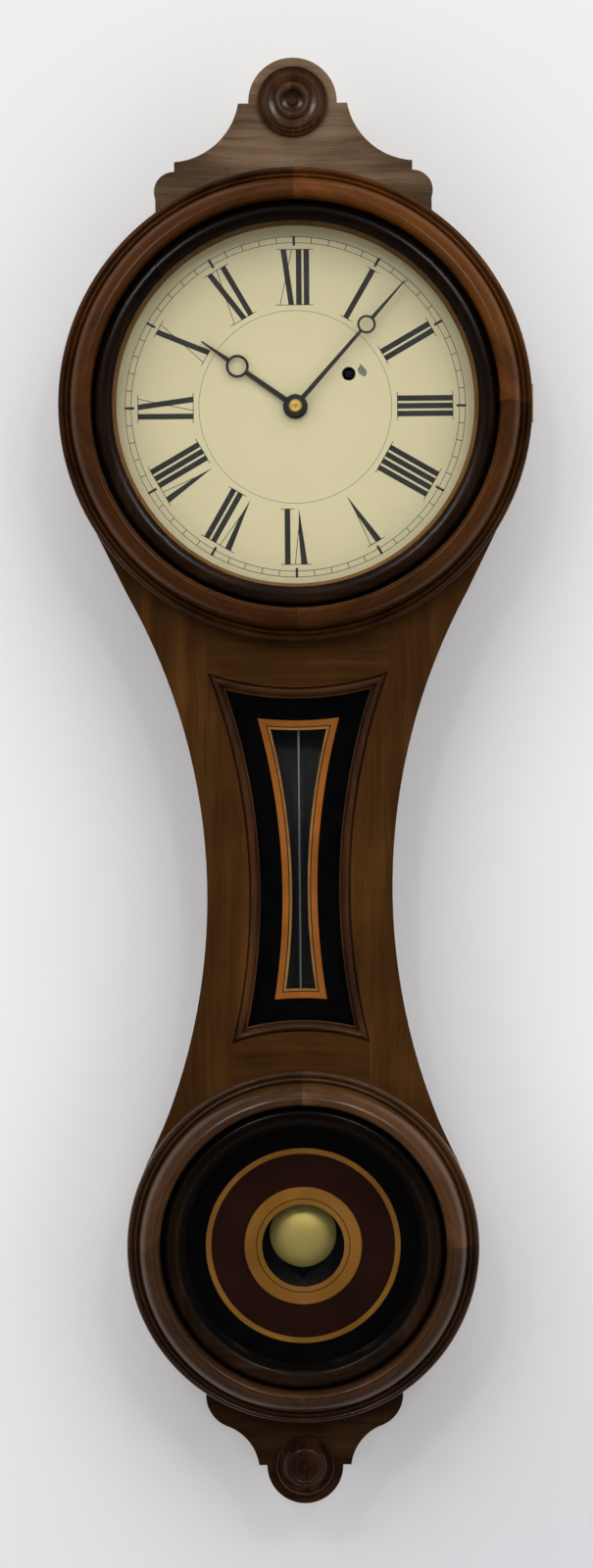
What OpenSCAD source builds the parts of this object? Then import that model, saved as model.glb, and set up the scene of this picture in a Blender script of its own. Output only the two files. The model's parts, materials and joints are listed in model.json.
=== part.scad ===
// Figure-eight wall regulator: a weight-driven pendulum clock in a keyhole-shaped walnut case.
// Millimetres. X to the right, Y into the wall, Z up. The origin is the centre of the hanger hole
// on the case's back plane. Depths are counted from the wall toward the room, and heights in the
// outlines are counted from the centre of the dial.

/* [Case outline] */
// Radius of the case's upper circle
upper_r = 141; // [136:0.2:142]
// Radius of the case's lower circle
lower_r = 104.8; // [100:0.2:106]
// Distance from the dial's centre down to the centre of the lower circle
centre_drop = 501.6; // [470:0.2:610]
// Narrowest point of the waist, as a share of the distance between the two centres
waist_share = 0.58; // [0.54:0.005:0.62]
// Half width of the case at its narrowest
waist_half = 55.4; // [52:0.2:66]
// How far each side of the waist bows in, over the distance between the two centres
waist_bow = 98; // [80:0.5:120]
// Height of the hanger hole above the dial's centre
hanger_above_dial = 110; // [95:1:118]

/* [Case depth] */
// Depth of the case from the wall to the face of the front boards
case_depth = 74; // [70:0.5:90]
// Thickness of the front boards
front_t = 12; // [9:0.5:14]
// Thickness of the backboard
back_t = 10; // [8:0.5:12]
// Thickness of the bent sides
side_t = 11; // [8:0.5:12]

/* [Doors] */
// Outer radius of the upper door's ring
upper_bezel_r = 141.2; // [135:0.2:150]
// Outer radius of the lower door's ring
lower_bezel_r = 104.8; // [98:0.2:112]
// Height of the door rings over the front boards
bezel_h = 26; // [20:0.5:30]
// Gap between a closed door and the front boards
door_gap = 0.4; // [0.3:0.1:1]
// Length of a hinge's barrel
hinge_l = 23; // [18:1:40]
// Radius of a hinge's barrel
hinge_r = 2; // [1.6:0.1:2.2]
// Radius of a hinge's pin
pin_r = 0.8; // [0.6:0.05:1]

/* [Throat] */
// Radius of the throat's top edge about the dial's centre
throat_top_r = 168.5; // [160:0.5:185]
// Radius of the throat's bottom edge about the centre of the lower circle
throat_bottom_r = 127.7; // [118:0.5:140]
// Half width of the throat at its narrowest, over the moulding
throat_half = 30; // [26:0.5:36]
// How far each side of the throat bows in, over the distance between the two centres
throat_bow = 96.1; // [85:0.1:110]
// Width of the throat moulding
throat_mould_w = 6.5; // [5:0.5:9]

/* [Dial and hands] */
// Radius of the dial plate
dial_r = 115; // [108:0.5:117]
// Radius of the winding hole in the dial
winding_hole_r = 4.1; // [3.5:0.1:5]
// Length of the minute hand
minute_l = 99.5; // [85:0.5:103]
// Length of the hour hand
hour_l = 68.5; // [55:0.5:80]
// Angle of the minute hand, clockwise from twelve
minute_a = 41.6; // [0:0.1:360]
// Angle of the hour hand, clockwise from twelve
hour_a = 305.2; // [0:0.1:360]

/* [Movement] */
// Winding arbor to the right of the dial's centre
winding_x = 32.2; // [30:0.1:34]
// Winding arbor above the dial's centre
winding_z = 19.6; // [18:0.1:22]
// Height of the pendulum's axis above the dial's centre
pivot_z = 57.4; // [57:0.1:62]
// Radius of the drum that the cable winds on
drum_r = 7; // [6:0.1:8]
// Diameter of the cable
cable_d = 1.2; // [0.8:0.1:1.4]

/* [Pendulum] */
// Height of the bob's centre above the centre of the lower circle
bob_above = 5.1; // [-8:0.1:12]
// Radius of the bob
bob_r = 20; // [16:0.5:26]
// Thickness of the bob
bob_t = 13; // [10:0.5:15]
// Radius of the pendulum rod
rod_r = 1; // [0.8:0.05:1.2]

/* [Weight] */
// Height of the weight
weight_h = 120; // [80:1:150]
// Thickness of the weight
weight_t = 22; // [16:0.5:23]

/* [Mounting] */
// Radius of the hole in the hanger plate
hanger_hole_r = 4.5; // [3.5:0.1:6]
// Radius of the two lower holes for wall screws
wall_hole_r = 2.5; // [2:0.1:3.5]
// Distance between the two lower holes for wall screws
wall_hole_gap = 120; // [110:1:140]

/* [Hidden] */
$fn = 96;
touch = 0.05;
run = 0.06;
glue = 0.02;
free = 0.3;
walnut = [0.30, 0.17, 0.08];
walnut_end = [0.34, 0.24, 0.15];
pine = [0.62, 0.47, 0.30];
brass = [0.72, 0.58, 0.30];
steel = [0.55, 0.56, 0.58];
blued = [0.06, 0.06, 0.07];
iron = [0.16, 0.16, 0.17];
glass = [0.75, 0.85, 0.85, 0.4];

front_back = case_depth - front_t;
door_back = case_depth + door_gap;
door_front = case_depth + bezel_h;
waist_drop = waist_share * centre_drop;
waist_curve_r = bow_r(waist_bow);
waist_x = waist_half + waist_curve_r;
throat_curve_r = bow_r(throat_bow);
throat_x = throat_half + throat_curve_r;
hook_hole_r = 9;
hanger_w = 60;
hanger_h = 24;
hanger_t = 2.5;

dial_t = 1;
dial_back = case_depth - 8;
dial_front = dial_back + dial_t;
dial_sight = dial_r - 6.5;
dial_screws = [for (a = [45:90:315]) (dial_r - 3) * [cos(a), sin(a)]];

plate_t = 2.5;
back_plate_z = back_t;
front_plate_z = 45;
plate_box = [[-52, -40], [72, 71]];
pillar_at = [[-44, -32], [-44, 62], [64, -32], [64, 63]];
feet_at = [[10, -34], [-28, 62], [46, 63]];
pillar_r = 3.5;
screw_r = 1.5;

great_n = 96;
centre_pinion_n = 8;
great_m = 2 * norm([winding_x, winding_z]) / (great_n + centre_pinion_n);
centre_n = 72;
third_pinion_n = 8;
centre_m = 0.6;
third_n = 72;
escape_pinion_n = 8;
third_m = 0.5;
centre_third = centre_m * (centre_n + third_pinion_n) / 2;
third_escape = third_m * (third_n + escape_pinion_n) / 2;
escape_r = 13;
escape_z = pivot_z - 18.4;
third_z = (pow(escape_z, 2) + pow(centre_third, 2) - pow(third_escape, 2)) / (2 * escape_z);
third_x = -sqrt(pow(centre_third, 2) - pow(third_z, 2));

cannon_n = 12;
minute_n = 36;
minute_pinion_n = 10;
hour_n = 40;
motion_gap = 12;
motion_m = 2 * motion_gap / (cannon_n + minute_n);
motion_pinion_m = 2 * motion_gap / (minute_pinion_n + hour_n);
stud_a = 225;
stud_x = motion_gap * cos(stud_a);
stud_z = motion_gap * sin(stud_a);

pendulum_depth = dial_back - 8.5;
hour_hand_back = dial_front + 2;
minute_hand_back = hour_hand_back + 3.1;
hand_t = 0.8;
bob_z = bob_above - centre_drop;
loop_r = 8;
cable_r = cable_d / 2;
cable_depth = 24.3;
wind_r = drum_r + cable_r + touch;
cable_x = winding_x - wind_r;
pulley_r = 16;
pulley_x = cable_x - pulley_r;
pulley_rim = pulley_r + 1.5;
chute_wall = 5;
chute_half = waist_half - side_t - chute_wall - 1.4;
chute_front = 37;
chute_top = -45;
chute_bottom = 4 - centre_drop - circle_at(lower_r - side_t, chute_half + chute_wall);
weight_gap = 1.5;
weight_w = 2 * (chute_half - pulley_x - weight_gap);
stop_w = 40;
stop_h = 5;
stop_low = -centre_drop - circle_at(lower_r - side_t, stop_w / 2);
stop_z = max(chute_bottom - 6, stop_low + stop_h + 1);
weight_bottom = stop_z + free;
weight_top = weight_bottom + weight_h;
pulley_z = weight_top + pulley_rim + 6.5;
weight_travel = chute_top - pulley_rim - free - pulley_z;

hinge_depth = door_back + 1.1;
upper_hinge_x = upper_bezel_r - 1;
lower_hinge_x = lower_bezel_r - 2.4;
leaf_t = 1;
leaf_w = 18;

// Everything is drawn about the dial's centre and then lowered below the hanger hole
module at_dial() {
    translate([0, 0, -hanger_above_dial]) children();
}

// A flat outline in X and Z, made solid between two depths from the wall
module slab(back, front) {
    translate([0, -back, 0])
        rotate([90, 0, 0])
            linear_extrude(front - back) children();
}

// A profile of radius and depth, turned about an axis that points into the wall
module turned(x = 0, z = 0) {
    translate([x, 0, z])
        rotate([90, 0, 0])
            rotate_extrude() children();
}

// A round bar that points into the wall
module bar(x, z, r, back, front) {
    translate([x, -back, z])
        rotate([90, 0, 0])
            cylinder(r = r, h = front - back);
}

// A slotted screw from its head's seat back into the work
module screw(x, z, seat, length, r, head_r, head_h) {
    difference() {
        union() {
            bar(x, z, r, seat - length, seat);
            bar(x, z, head_r, seat, seat + head_h);
        }
        translate([x - head_r, -seat - head_h - 1, z - 0.4]) cube([2 * head_r, 1.5, 0.8]);
    }
}

// The quarter of a ring between two angles that are 90 degrees apart
module quarter(a, reach) {
    rotate([0, -a, 0])
        translate([glue, -200, glue]) cube([reach, 400, reach]);
}

// The case outline

// Radius of a side's curve that bows in by so much between the levels of the two centres
function bow_r(bow) = (pow(centre_drop / 2, 2) + bow * bow) / (2 * bow);

// How far a circle reaches sideways at a given height from its centre
function circle_at(r, z) = sqrt(r * r - z * z);

// The lower right one of the two points where two circles cross
function meet(a, ra, b, rb) =
    let (d = norm(b - a),
         u = (b - a) / d,
         along = (d * d + ra * ra - rb * rb) / (2 * d),
         off = circle_at(ra, along))
    a + along * u + off * [u[1], -u[0]];

// Each straight flank runs from a circle to the waist curve, and lies a little inside both
flank_sink = 0.4;

function flank_a(z, r) =
    let (c = [waist_x, -waist_drop - z],
         reach = (r + waist_curve_r - 2 * flank_sink) / norm(c),
         lean = acos(min(1, reach)))
    atan2(c[1], c[0]) + (z == 0 ? lean : -lean);

function flank_at(z, r, inset) =
    let (a = flank_a(z, r), n = [cos(a), sin(a)], on_circle = (r - flank_sink - inset) * n)
    [[0, z] + 0.8 * on_circle,
     [0, z] + on_circle,
     [waist_x, -waist_drop] - (waist_curve_r + inset - flank_sink) * n];

module waist_outline(inset = 0) {
    upper = flank_at(0, upper_r, inset);
    lower = flank_at(-centre_drop, lower_r, inset);
    right = concat(upper, [lower[2], lower[1], lower[0]]);
    left = [for (i = [5:-1:0]) [-right[i][0], right[i][1]]];
    difference() {
        polygon(concat(right, left));
        for (side = [-1, 1])
            translate([side * waist_x, -waist_drop]) circle(r = waist_curve_r + inset, $fn = 360);
    }
}

module case_block(back, front) {
    bar(0, 0, upper_r, back, front);
    bar(0, -centre_drop, lower_r, back, front);
    slab(back, front) waist_outline(0);
}

// The throat opening, between arcs about both circles and the two waist curves
module throat_outline(inset = 0) {
    difference() {
        translate([-lower_r, -centre_drop + 60]) square([2 * lower_r, centre_drop - 180]);
        circle(r = throat_top_r + inset, $fn = 180);
        translate([0, -centre_drop]) circle(r = throat_bottom_r + inset, $fn = 180);
        for (side = [-1, 1])
            translate([side * throat_x, -waist_drop]) circle(r = throat_curve_r + inset, $fn = 360);
    }
}

// Case

module backboard() color(walnut) at_dial() {
    difference() {
        case_block(0, back_t);
        translate([-hanger_w / 2 - touch, -hanger_t, hanger_above_dial - hanger_h / 2 - touch])
            cube([hanger_w + 2 * touch, hanger_t + 1, hanger_h + 2 * touch]);
        bar(0, hanger_above_dial, hook_hole_r, -1, back_t + 1);
        for (side = [-1, 1]) {
            bar(side * wall_hole_gap / 2, 18 - centre_drop, wall_hole_r, -1, back_t + 1);
            bar(side * 22, hanger_above_dial, screw_r + run, -1, back_t - 1);
        }
        for (p = feet_at) bar(p[0], p[1], screw_r + run, 2, back_t + 1);
    }
}

// Each side is a sawn upper arc, a waist piece and a sawn lower arc, glued end to end
module case_sides() color(walnut) at_dial() {
    upper_cut = flank_at(0, upper_r, 0)[1][1] - 24;
    lower_cut = flank_at(-centre_drop, lower_r, 0)[1][1] + 20;
    for (side = [0, 1])
        mirror([side, 0, 0]) {
            rim(0, upper_r, upper_cut, upper_r);
            intersection() {
                difference() {
                    slab(back_t, front_back) waist_outline(0.6);
                    slab(back_t - 1, front_back + 1) waist_outline(side_t);
                    bar(0, 0, upper_r - 0.6 + glue, back_t - 1, front_back + 1);
                    bar(0, -centre_drop, lower_r - 0.6 + glue, back_t - 1, front_back + 1);
                }
                translate([glue, -case_depth, -centre_drop]) cube([upper_r, case_depth, centre_drop]);
            }
            rim(-centre_drop, lower_r, -centre_drop - lower_r, lower_cut);
        }
}

// The right half of a sawn rim about the height z, between two levels
module rim(z, r, low, high) {
    intersection() {
        difference() {
            bar(0, z, r - 0.6, back_t, front_back);
            bar(0, z, r - side_t, back_t - 1, front_back + 1);
        }
        translate([glue, -front_back - 1, low]) cube([r, front_back + 2, high - low]);
    }
}

// Pockets in the front boards for the hinge leaves, and their screw and catch holes. The edge of the board
// is eased above and below each barrel too, so that the door's ring clears it when it stands wide open
module front_fittings(x, z, catch_x) {
    ease = 6;
    ease_t = 2;
    translate([x - leaf_w - touch, -case_depth - 1, z - hinge_l / 2 - touch])
        cube([leaf_w + 2 * touch, leaf_t + 1, hinge_l + 2 * touch]);
    translate([x - hinge_r - free, -case_depth - 1, z - hinge_l / 2 - ease])
        cube([10, ease_t + 1, hinge_l + 2 * ease]);
    for (i = [-1:1]) bar(x - leaf_w + 5, z + 7.5 * i, 0.8 + run, case_depth - 8, case_depth);
    bar(catch_x, z, 2 + free, case_depth - 8, case_depth + 1);
}

module upper_front_ring() color(walnut) at_dial() {
    for (i = [0:3])
        intersection() {
            difference() {
                slab(front_back, case_depth) circle(r = upper_r);
                slab(front_back - 1, case_depth + 1) circle(r = dial_sight);
                slab(dial_back, case_depth + 1) circle(r = dial_r + 0.3);
                front_fittings(upper_hinge_x, 0, -upper_hinge_x + 16);
                for (p = dial_screws) bar(p[0], p[1], 0.8 + run, front_back, dial_back + 1);
            }
            quarter(90 * i + 20, 220);
        }
}

module lower_front_ring() color(walnut) at_dial() {
    for (i = [0:3])
        intersection() {
            translate([0, 0, -centre_drop]) difference() {
                slab(front_back, case_depth) circle(r = lower_r);
                slab(front_back - 1, case_depth + 1) circle(r = lower_r - 21);
                front_fittings(lower_hinge_x, 0, -lower_hinge_x + 11);
            }
            translate([0, 0, -centre_drop]) quarter(90 * i + 20, 220);
        }
}

// The front of the waist, outside both rings and round the throat. Its thin tips are cut off level
module waist_front() {
    high = flank_at(0, upper_r, 0)[1][1] - 14;
    low = flank_at(-centre_drop, lower_r, 0)[1][1] + 13;
    difference() {
        intersection() {
            slab(front_back, case_depth) waist_outline(0);
            translate([-upper_r, -case_depth - 1, low]) cube([2 * upper_r, case_depth, high - low]);
        }
        bar(0, 0, upper_r + touch, front_back - 1, case_depth + 1);
        bar(0, -centre_drop, lower_r + touch, front_back - 1, case_depth + 1);
        slab(case_depth - 6, case_depth + 1) throat_outline(-0.2);
        slab(front_back - 1, case_depth) throat_outline(throat_mould_w - 1.5);
    }
}

// A corner of the throat on the right, at its top or its bottom. The bottom one is found upside down
function throat_top(inset) =
    meet([0, 0], throat_top_r + inset, [throat_x, -waist_drop], throat_curve_r + inset);

function throat_bottom(inset) =
    let (p = meet([0, centre_drop], throat_bottom_r + inset, [throat_x, waist_drop], throat_curve_r + inset))
    [p[0], -p[1]];

// A rail reaches from a ring to the throat, and in along the mitres at its two corners
module rail_zone() {
    for (p = [[throat_top(0), throat_top(8), 0], [throat_bottom(0), throat_bottom(8), -centre_drop]]) {
        mitre = p[0] + 4 * (p[1] - p[0]);
        right = [[p[0][0] + 0.4, p[2]], p[0], mitre];
        polygon(concat(right, [for (i = [2:-1:0]) [-right[i][0], right[i][1]]]));
    }
}

module front_stiles() color(walnut) at_dial() {
    difference() {
        waist_front();
        slab(front_back - 1, case_depth + 1) rail_zone();
    }
}

module throat_rails() color(walnut) at_dial() {
    intersection() {
        waist_front();
        slab(front_back - 1, case_depth + 1) rail_zone();
    }
}

// A board between two levels, with a hollow cut into each side
module hollowed(half, low, high, hollow, hollow_r) {
    difference() {
        translate([-half, low]) square([2 * half, high - low]);
        for (side = [-1, 1]) translate([side * hollow[0], hollow[1]]) circle(r = hollow_r);
    }
}

// Crest: a dome between two ears, and on each side a hollow, a step and a round shoulder on a foot
dome_r = 26.5;
dome_z = 181.7;
crest_ear_z = 181;
crest_step = 71.2;
crest_hollow = [74, 188.2];
crest_hollow_r = 42;
crest_shoulder = [71.4, 128.5];
crest_shoulder_r = 12;
crest_foot = 82.6;
crest_low = 100;
crest_rest = upper_r + touch;

module crest_outline() {
    difference() {
        union() {
            translate([0, dome_z]) circle(r = dome_r);
            hollowed(crest_step, crest_low, crest_ear_z, crest_hollow, crest_hollow_r);
            for (side = [-1, 1])
                translate([side * crest_shoulder[0], crest_shoulder[1]]) circle(r = crest_shoulder_r);
            translate([-crest_foot, crest_low]) square([2 * crest_foot, crest_shoulder[1] - crest_low]);
        }
        circle(r = crest_rest, $fn = 180);
    }
}

module crest() color(walnut_end) at_dial() {
    slab(front_back, case_depth) crest_outline();
}

// Drop: a half dome between two ears, and on each side a hollow that runs into a round shoulder
drop_dome_r = 22.7;
drop_dome_z = -131.8;
drop_hollow = [56.2, -135.2];
drop_shoulder = [39.1, -89.7];
drop_shoulder_r = 19.8;
drop_hollow_r = norm(drop_shoulder - drop_hollow) - drop_shoulder_r + touch;
drop_foot = drop_shoulder[0] + drop_shoulder_r - touch;
drop_low = -131.5;
drop_high = -80;
drop_rest = lower_r + touch;

module drop_outline() {
    turning = drop_hollow + drop_hollow_r / (drop_hollow_r + drop_shoulder_r) * (drop_shoulder - drop_hollow);
    difference() {
        union() {
            translate([0, drop_dome_z]) circle(r = drop_dome_r);
            hollowed(turning[0], drop_low, drop_high, drop_hollow, drop_hollow_r);
            for (side = [-1, 1])
                translate([side * drop_shoulder[0], drop_shoulder[1]]) circle(r = drop_shoulder_r);
            translate([-drop_foot, drop_shoulder[1]]) square([2 * drop_foot, drop_high - drop_shoulder[1]]);
        }
        circle(r = drop_rest, $fn = 180);
    }
}

module drop() color(walnut) at_dial() {
    translate([0, 0, -centre_drop]) slab(front_back, case_depth) drop_outline();
}

// A turned rosette: a flat rim, two steps, a round roll and a small centre button
module rosette(x, z, r, roll_in, roll_out, button) {
    roll = (roll_in + roll_out) / 2;
    half = (roll_out - roll_in) / 2;
    turned(x, z) union() {
        polygon([
            [0, case_depth], [r, case_depth], [r, case_depth + 2], [r - 0.8, case_depth + 2.8],
            [r - 1.6, case_depth + 2], [r - 2.2, case_depth + 2], [r - 3.2, case_depth + 3.4],
            [r - 4.4, case_depth + 3.4], [r - 5.4, case_depth + 4.6], [roll_out, case_depth + 4.6],
            [roll_in, case_depth + 2.6], [0, case_depth + 2.6]]);
        translate([roll, case_depth + 4.4]) circle(r = half);
        translate([0, case_depth + 2.6]) square([button, 2.2]);
    }
}

module rosettes() color(walnut_end) at_dial() {
    rosette(0, dome_z, 21.4, 6.4, 11.2, 2.4);
    rosette(0, drop_dome_z - centre_drop, 17.4, 7.4, 11.8, 2.2);
}

// Glue blocks behind the crest and the drop, and the stop that the weight rests on
module wood_blocks() color(pine) at_dial() {
    difference() {
        slab(front_back - 16, front_back) translate([-30, 130]) square([60, 26]);
        bar(0, 0, upper_r, 0, case_depth);
    }
    difference() {
        slab(front_back - 14, front_back) translate([-24, -centre_drop - 118]) square([48, 26]);
        bar(0, -centre_drop, lower_r, 0, case_depth);
    }
    slab(back_t, chute_front - 1) translate([-stop_w / 2, stop_z - stop_h]) square([stop_w, stop_h]);
}

// Section of the throat's moulding: a quirk, a round that falls toward the glass, and a lip
function throat_profile(r) = [
    for (p = [[0, -4], [0, -1.4], [0.7, -1.4], [0.9, -0.4], [1.6, 0.4], [2.4, 0.5], [3.4, 0], [4.3, -1],
              [throat_mould_w - 1.4, -2.6], [throat_mould_w - 1.1, -2.2], [throat_mould_w - 0.4, -2.2],
              [throat_mould_w, -2.6], [throat_mould_w, -4]])
        [r + p[0], case_depth + p[1]]];

// A mitre line through an outer and an inner corner, from outside both to the middle of the clock
function mitre(out, in) = [out - 0.6 * (in - out), out + out[0] / (out[0] - in[0]) * (in - out)];

// The moulding's four strips, mitred at the corners
module throat_moulding() color(walnut) at_dial() {
    top = mitre(throat_top(0), throat_top(throat_mould_w));
    bottom = mitre(throat_bottom(0), throat_bottom(throat_mould_w));
    strip([[-1, top[0]], [1, top[0]], [1, top[1]]], glue)
        turned(0, 0) polygon(throat_profile(throat_top_r));
    strip([[-1, bottom[0]], [1, bottom[0]], [1, bottom[1]]], -glue)
        turned(0, -centre_drop) polygon(throat_profile(throat_bottom_r));
    for (side = [-1, 1])
        strip([for (p = [top[0], top[1], bottom[1], bottom[0]]) [side, p + [glue, 0]]], 0)
            turned(side * throat_x, -waist_drop) polygon(throat_profile(throat_curve_r));
}

// What lies in front of an outline that is given as sides and points
module strip(corners, lift) {
    intersection() {
        children();
        slab(case_depth - 6, case_depth + 6) polygon([for (c = corners) [c[0] * c[1][0], c[1][1] + lift]]);
    }
}

module throat_tablet() color(blued) at_dial() {
    slab(case_depth - 6, case_depth - 4) throat_outline(0.4);
}

module dial() color([0.88, 0.86, 0.74]) at_dial() {
    difference() {
        bar(0, 0, dial_r, dial_back, dial_front);
        bar(0, 0, 5, dial_back - 1, dial_front + 1);
        bar(winding_x, winding_z, winding_hole_r, dial_back - 1, dial_front + 1);
        for (p = dial_screws) bar(p[0], p[1], 1, dial_back - 1, dial_front + 1);
    }
}

module hanger_plate() color(steel) at_dial() {
    difference() {
        slab(0, hanger_t)
            translate([-hanger_w / 2, hanger_above_dial - hanger_h / 2]) square([hanger_w, hanger_h]);
        bar(0, hanger_above_dial, hanger_hole_r, -1, hanger_t + 1);
        for (side = [-1, 1]) bar(side * 22, hanger_above_dial, screw_r + run, -1, hanger_t + 1);
    }
}

// The chute that the weight falls in: two upright battens and a thin cover
module chute_sides() color(pine) at_dial() {
    for (side = [-1, 1])
        slab(back_t, chute_front)
            translate([side * (chute_half + chute_wall / 2) - chute_wall / 2, chute_bottom])
                square([chute_wall, chute_top - chute_bottom]);
}

module weight_baffle() color(pine) at_dial() {
    slab(chute_front, chute_front + 2.5)
        translate([-chute_half - chute_wall, chute_bottom])
            square([2 * (chute_half + chute_wall), chute_top - chute_bottom]);
}

// Movement plates and what is riveted to them

module plate_outline() {
    translate(plate_box[0]) square(plate_box[1] - plate_box[0]);
}

arbor_pivots = [
    [0, 0, 1.2], [third_x, third_z, 0.7], [0, escape_z, 0.7], [0, pivot_z, 0.8]];

// The back plate, with the post that holds the still end of the cable
module back_plate() color(brass) at_dial() {
    back = back_plate_z;
    difference() {
        slab(back, back + plate_t) plate_outline();
        for (p = arbor_pivots) bar(p[0], p[1], p[2] + run, back - 1, back + plate_t + 1);
        bar(winding_x, winding_z, 1.5 + run, back - 1, back + plate_t + 1);
        for (p = pillar_at) bar(p[0], p[1], 2 + run, back - 1, back + plate_t + 1);
        for (p = feet_at) bar(p[0], p[1], screw_r + run, back - 1, back + plate_t + 1);
        bar(pulley_x - pulley_r, -34, 1.5 + run, back - 1, back + plate_t + 1);
    }
    difference() {
        union() {
            bar(pulley_x - pulley_r, -34, 1.5, back, back + plate_t);
            bar(pulley_x - pulley_r, -34, 2.4, back + plate_t, cable_depth + 3);
        }
        translate([pulley_x - pulley_r, -cable_depth, -40]) cylinder(r = cable_r + touch, h = 12);
    }
}

// The front plate, with the stud that the minute wheel turns on
module front_plate() color(brass) at_dial() {
    back = front_plate_z;
    difference() {
        slab(back, back + plate_t) plate_outline();
        bar(0, 0, 1.5 + run, back - 1, back + plate_t + 1);
        bar(third_x, third_z, 0.7 + run, back - 1, back + plate_t + 1);
        bar(0, escape_z, 0.7 + run, back - 1, back + plate_t + 1);
        bar(0, pivot_z, 1.3 + run, back - 1, back + plate_t + 1);
        bar(winding_x, winding_z, 2.7 + run, back - 1, back + plate_t + 1);
        for (p = pillar_at) bar(p[0], p[1], screw_r + run, back - 1, back + plate_t + 1);
        for (side = [-1, 1]) bar(9 * side, 66, screw_r + run, back - 1, back + plate_t + 1);
    }
    bar(stud_x, stud_z, 1.1, back + 1, 53.4);
}

module pillars() color(brass) at_dial() {
    for (p = pillar_at)
        difference() {
            union() {
                bar(p[0], p[1], pillar_r, back_plate_z + plate_t, front_plate_z);
                bar(p[0], p[1], 2, back_plate_z, back_plate_z + plate_t);
            }
            bar(p[0], p[1], screw_r + run, front_plate_z - 9, front_plate_z + 1);
        }
}

// The cock stands on the front plate. The suspension spring's brass cheek hangs in its slot on a pin
cheek_w = 2.4;
cheek_pin_r = 1;

module suspension_cock() color(brass) at_dial() {
    back = front_plate_z + plate_t;
    low = pivot_z + free;
    top = low + 10.3;
    front = pendulum_depth + 4.5;
    pin_z = top + cheek_pin_r + glue;
    difference() {
        union() {
            slab(back, back + 2.5) translate([-13, 62]) square([26, 8]);
            slab(back, front) translate([-5, 62]) square([10, top - 62]);
            slab(front - 9.4, front) translate([-5, low]) square([10, top - low]);
        }
        slab(front - 8.8, front + 1)
            translate([-cheek_w / 2 - touch, low - 1]) square([cheek_w + 2 * touch, 20]);
        for (side = [-1, 1]) bar(9 * side, 66, screw_r + run, back - 1, back + 4);
    }
    slab(front - 8.4, front - 0.4) translate([-cheek_w / 2, low]) square([cheek_w, pin_z + 2 - low]);
    translate([-4, -pendulum_depth, pin_z]) rotate([0, 90, 0]) cylinder(r = cheek_pin_r, h = 8);
}

// Hinges

module barrel(x, z, low, high) {
    difference() {
        translate([x, -hinge_depth, z + low]) cylinder(r = hinge_r, h = high - low);
        translate([x, -hinge_depth, z + low - 1]) cylinder(r = pin_r + touch, h = high - low + 2);
    }
}

// The fixed leaf lies in the front board, with the top and bottom knuckles
module case_leaf(x, z) {
    half = hinge_l / 2;
    difference() {
        union() {
            translate([x - leaf_w, -case_depth, z - half]) cube([leaf_w - hinge_r - free, leaf_t, 2 * half]);
            for (low = [-half, 4.2]) {
                translate([x - leaf_w, -case_depth, z + low]) cube([leaf_w, leaf_t, half - 4.2]);
                barrel(x, z, low, low + half - 4.2);
            }
        }
        translate([x, -hinge_depth, z - half - 1]) cylinder(r = pin_r + touch, h = 2 * half + 2);
        for (i = [-1:1]) bar(x - leaf_w + 5, z + 7.5 * i, 0.85 + run, case_depth - 3, case_depth + 1);
    }
}

module case_hinge_leaves() color(brass) at_dial() {
    case_leaf(upper_hinge_x, 0);
    case_leaf(lower_hinge_x, -centre_drop);
}

module hinge_pins() color(brass) at_dial() {
    for (p = [[upper_hinge_x, 0], [lower_hinge_x, -centre_drop]])
        translate([p[0], -hinge_depth, p[1] - hinge_l / 2]) cylinder(r = pin_r, h = hinge_l);
}

// The moving leaf lies in the back of the door's ring, with the middle knuckle
module door_leaf(x, z) {
    half = hinge_l / 2;
    difference() {
        union() {
            translate([x - leaf_w, -door_back - leaf_t, z - half])
                cube([leaf_w - hinge_r - free, leaf_t, 2 * half]);
            translate([x - leaf_w, -door_back - leaf_t, z - 4]) cube([leaf_w, leaf_t, 8]);
            barrel(x, z, -4, 4);
        }
        translate([x, -hinge_depth, z - half - 1]) cylinder(r = pin_r + touch, h = 2 * half + 2);
        for (i = [-1:1]) bar(x - leaf_w + 5, z + 7.5 * i, 0.85 + run, door_back - 1, door_back + 3);
    }
}

// Doors

// Section of a door's turned outer ring: two beads, and a broad roll that ends in a quirk
roll_h = 13.4;
roll_crown = 17;
roll_foot = 7;

function bezel_profile(r) = concat(
    [[r - 22, door_back], [r - 2.5, door_back], [r, door_back + 2.5]],
    [for (p = [[0, 2.2], [0.4, 0.9], [1.2, 0.2], [2, 0], [3, 0.4], [3.8, 1.4], [4.2, 0.7], [4.8, 0.1],
               [5.4, 0], [6.1, 0.3], [6.8, 1.2]])
        [r - p[0], door_front - roll_h - p[1]]],
    [for (a = [0:10:80])
        [r - roll_crown + (roll_crown - roll_foot) * cos(a), door_front - roll_h * (1 - sin(a))]],
    [[r - roll_crown, door_front], [r - 18.3, door_front - 0.4], [r - 19.2, door_front - 1.5],
     [r - 19.6, door_front - 3], [r - 19.6, door_front - 16], [r - 22, door_front - 16]]);

// Section of the inner ring that holds the glass
function glazing_profile(r, glass_front) = [
    [r - 22.1, glass_front - 4], [r - 22.1, door_front - 11], [r - 22.8, door_front - 10.2],
    [r - 24.4, door_front - 9.6], [r - 27, door_front - 9.4], [r - 30.2, door_front - 9.8],
    [r - 31.8, door_front - 10.6], [r - 32.2, door_front - 11.6], [r - 34.6, glass_front],
    [r - 27.1, glass_front], [r - 27.1, glass_front - 4]];

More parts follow.
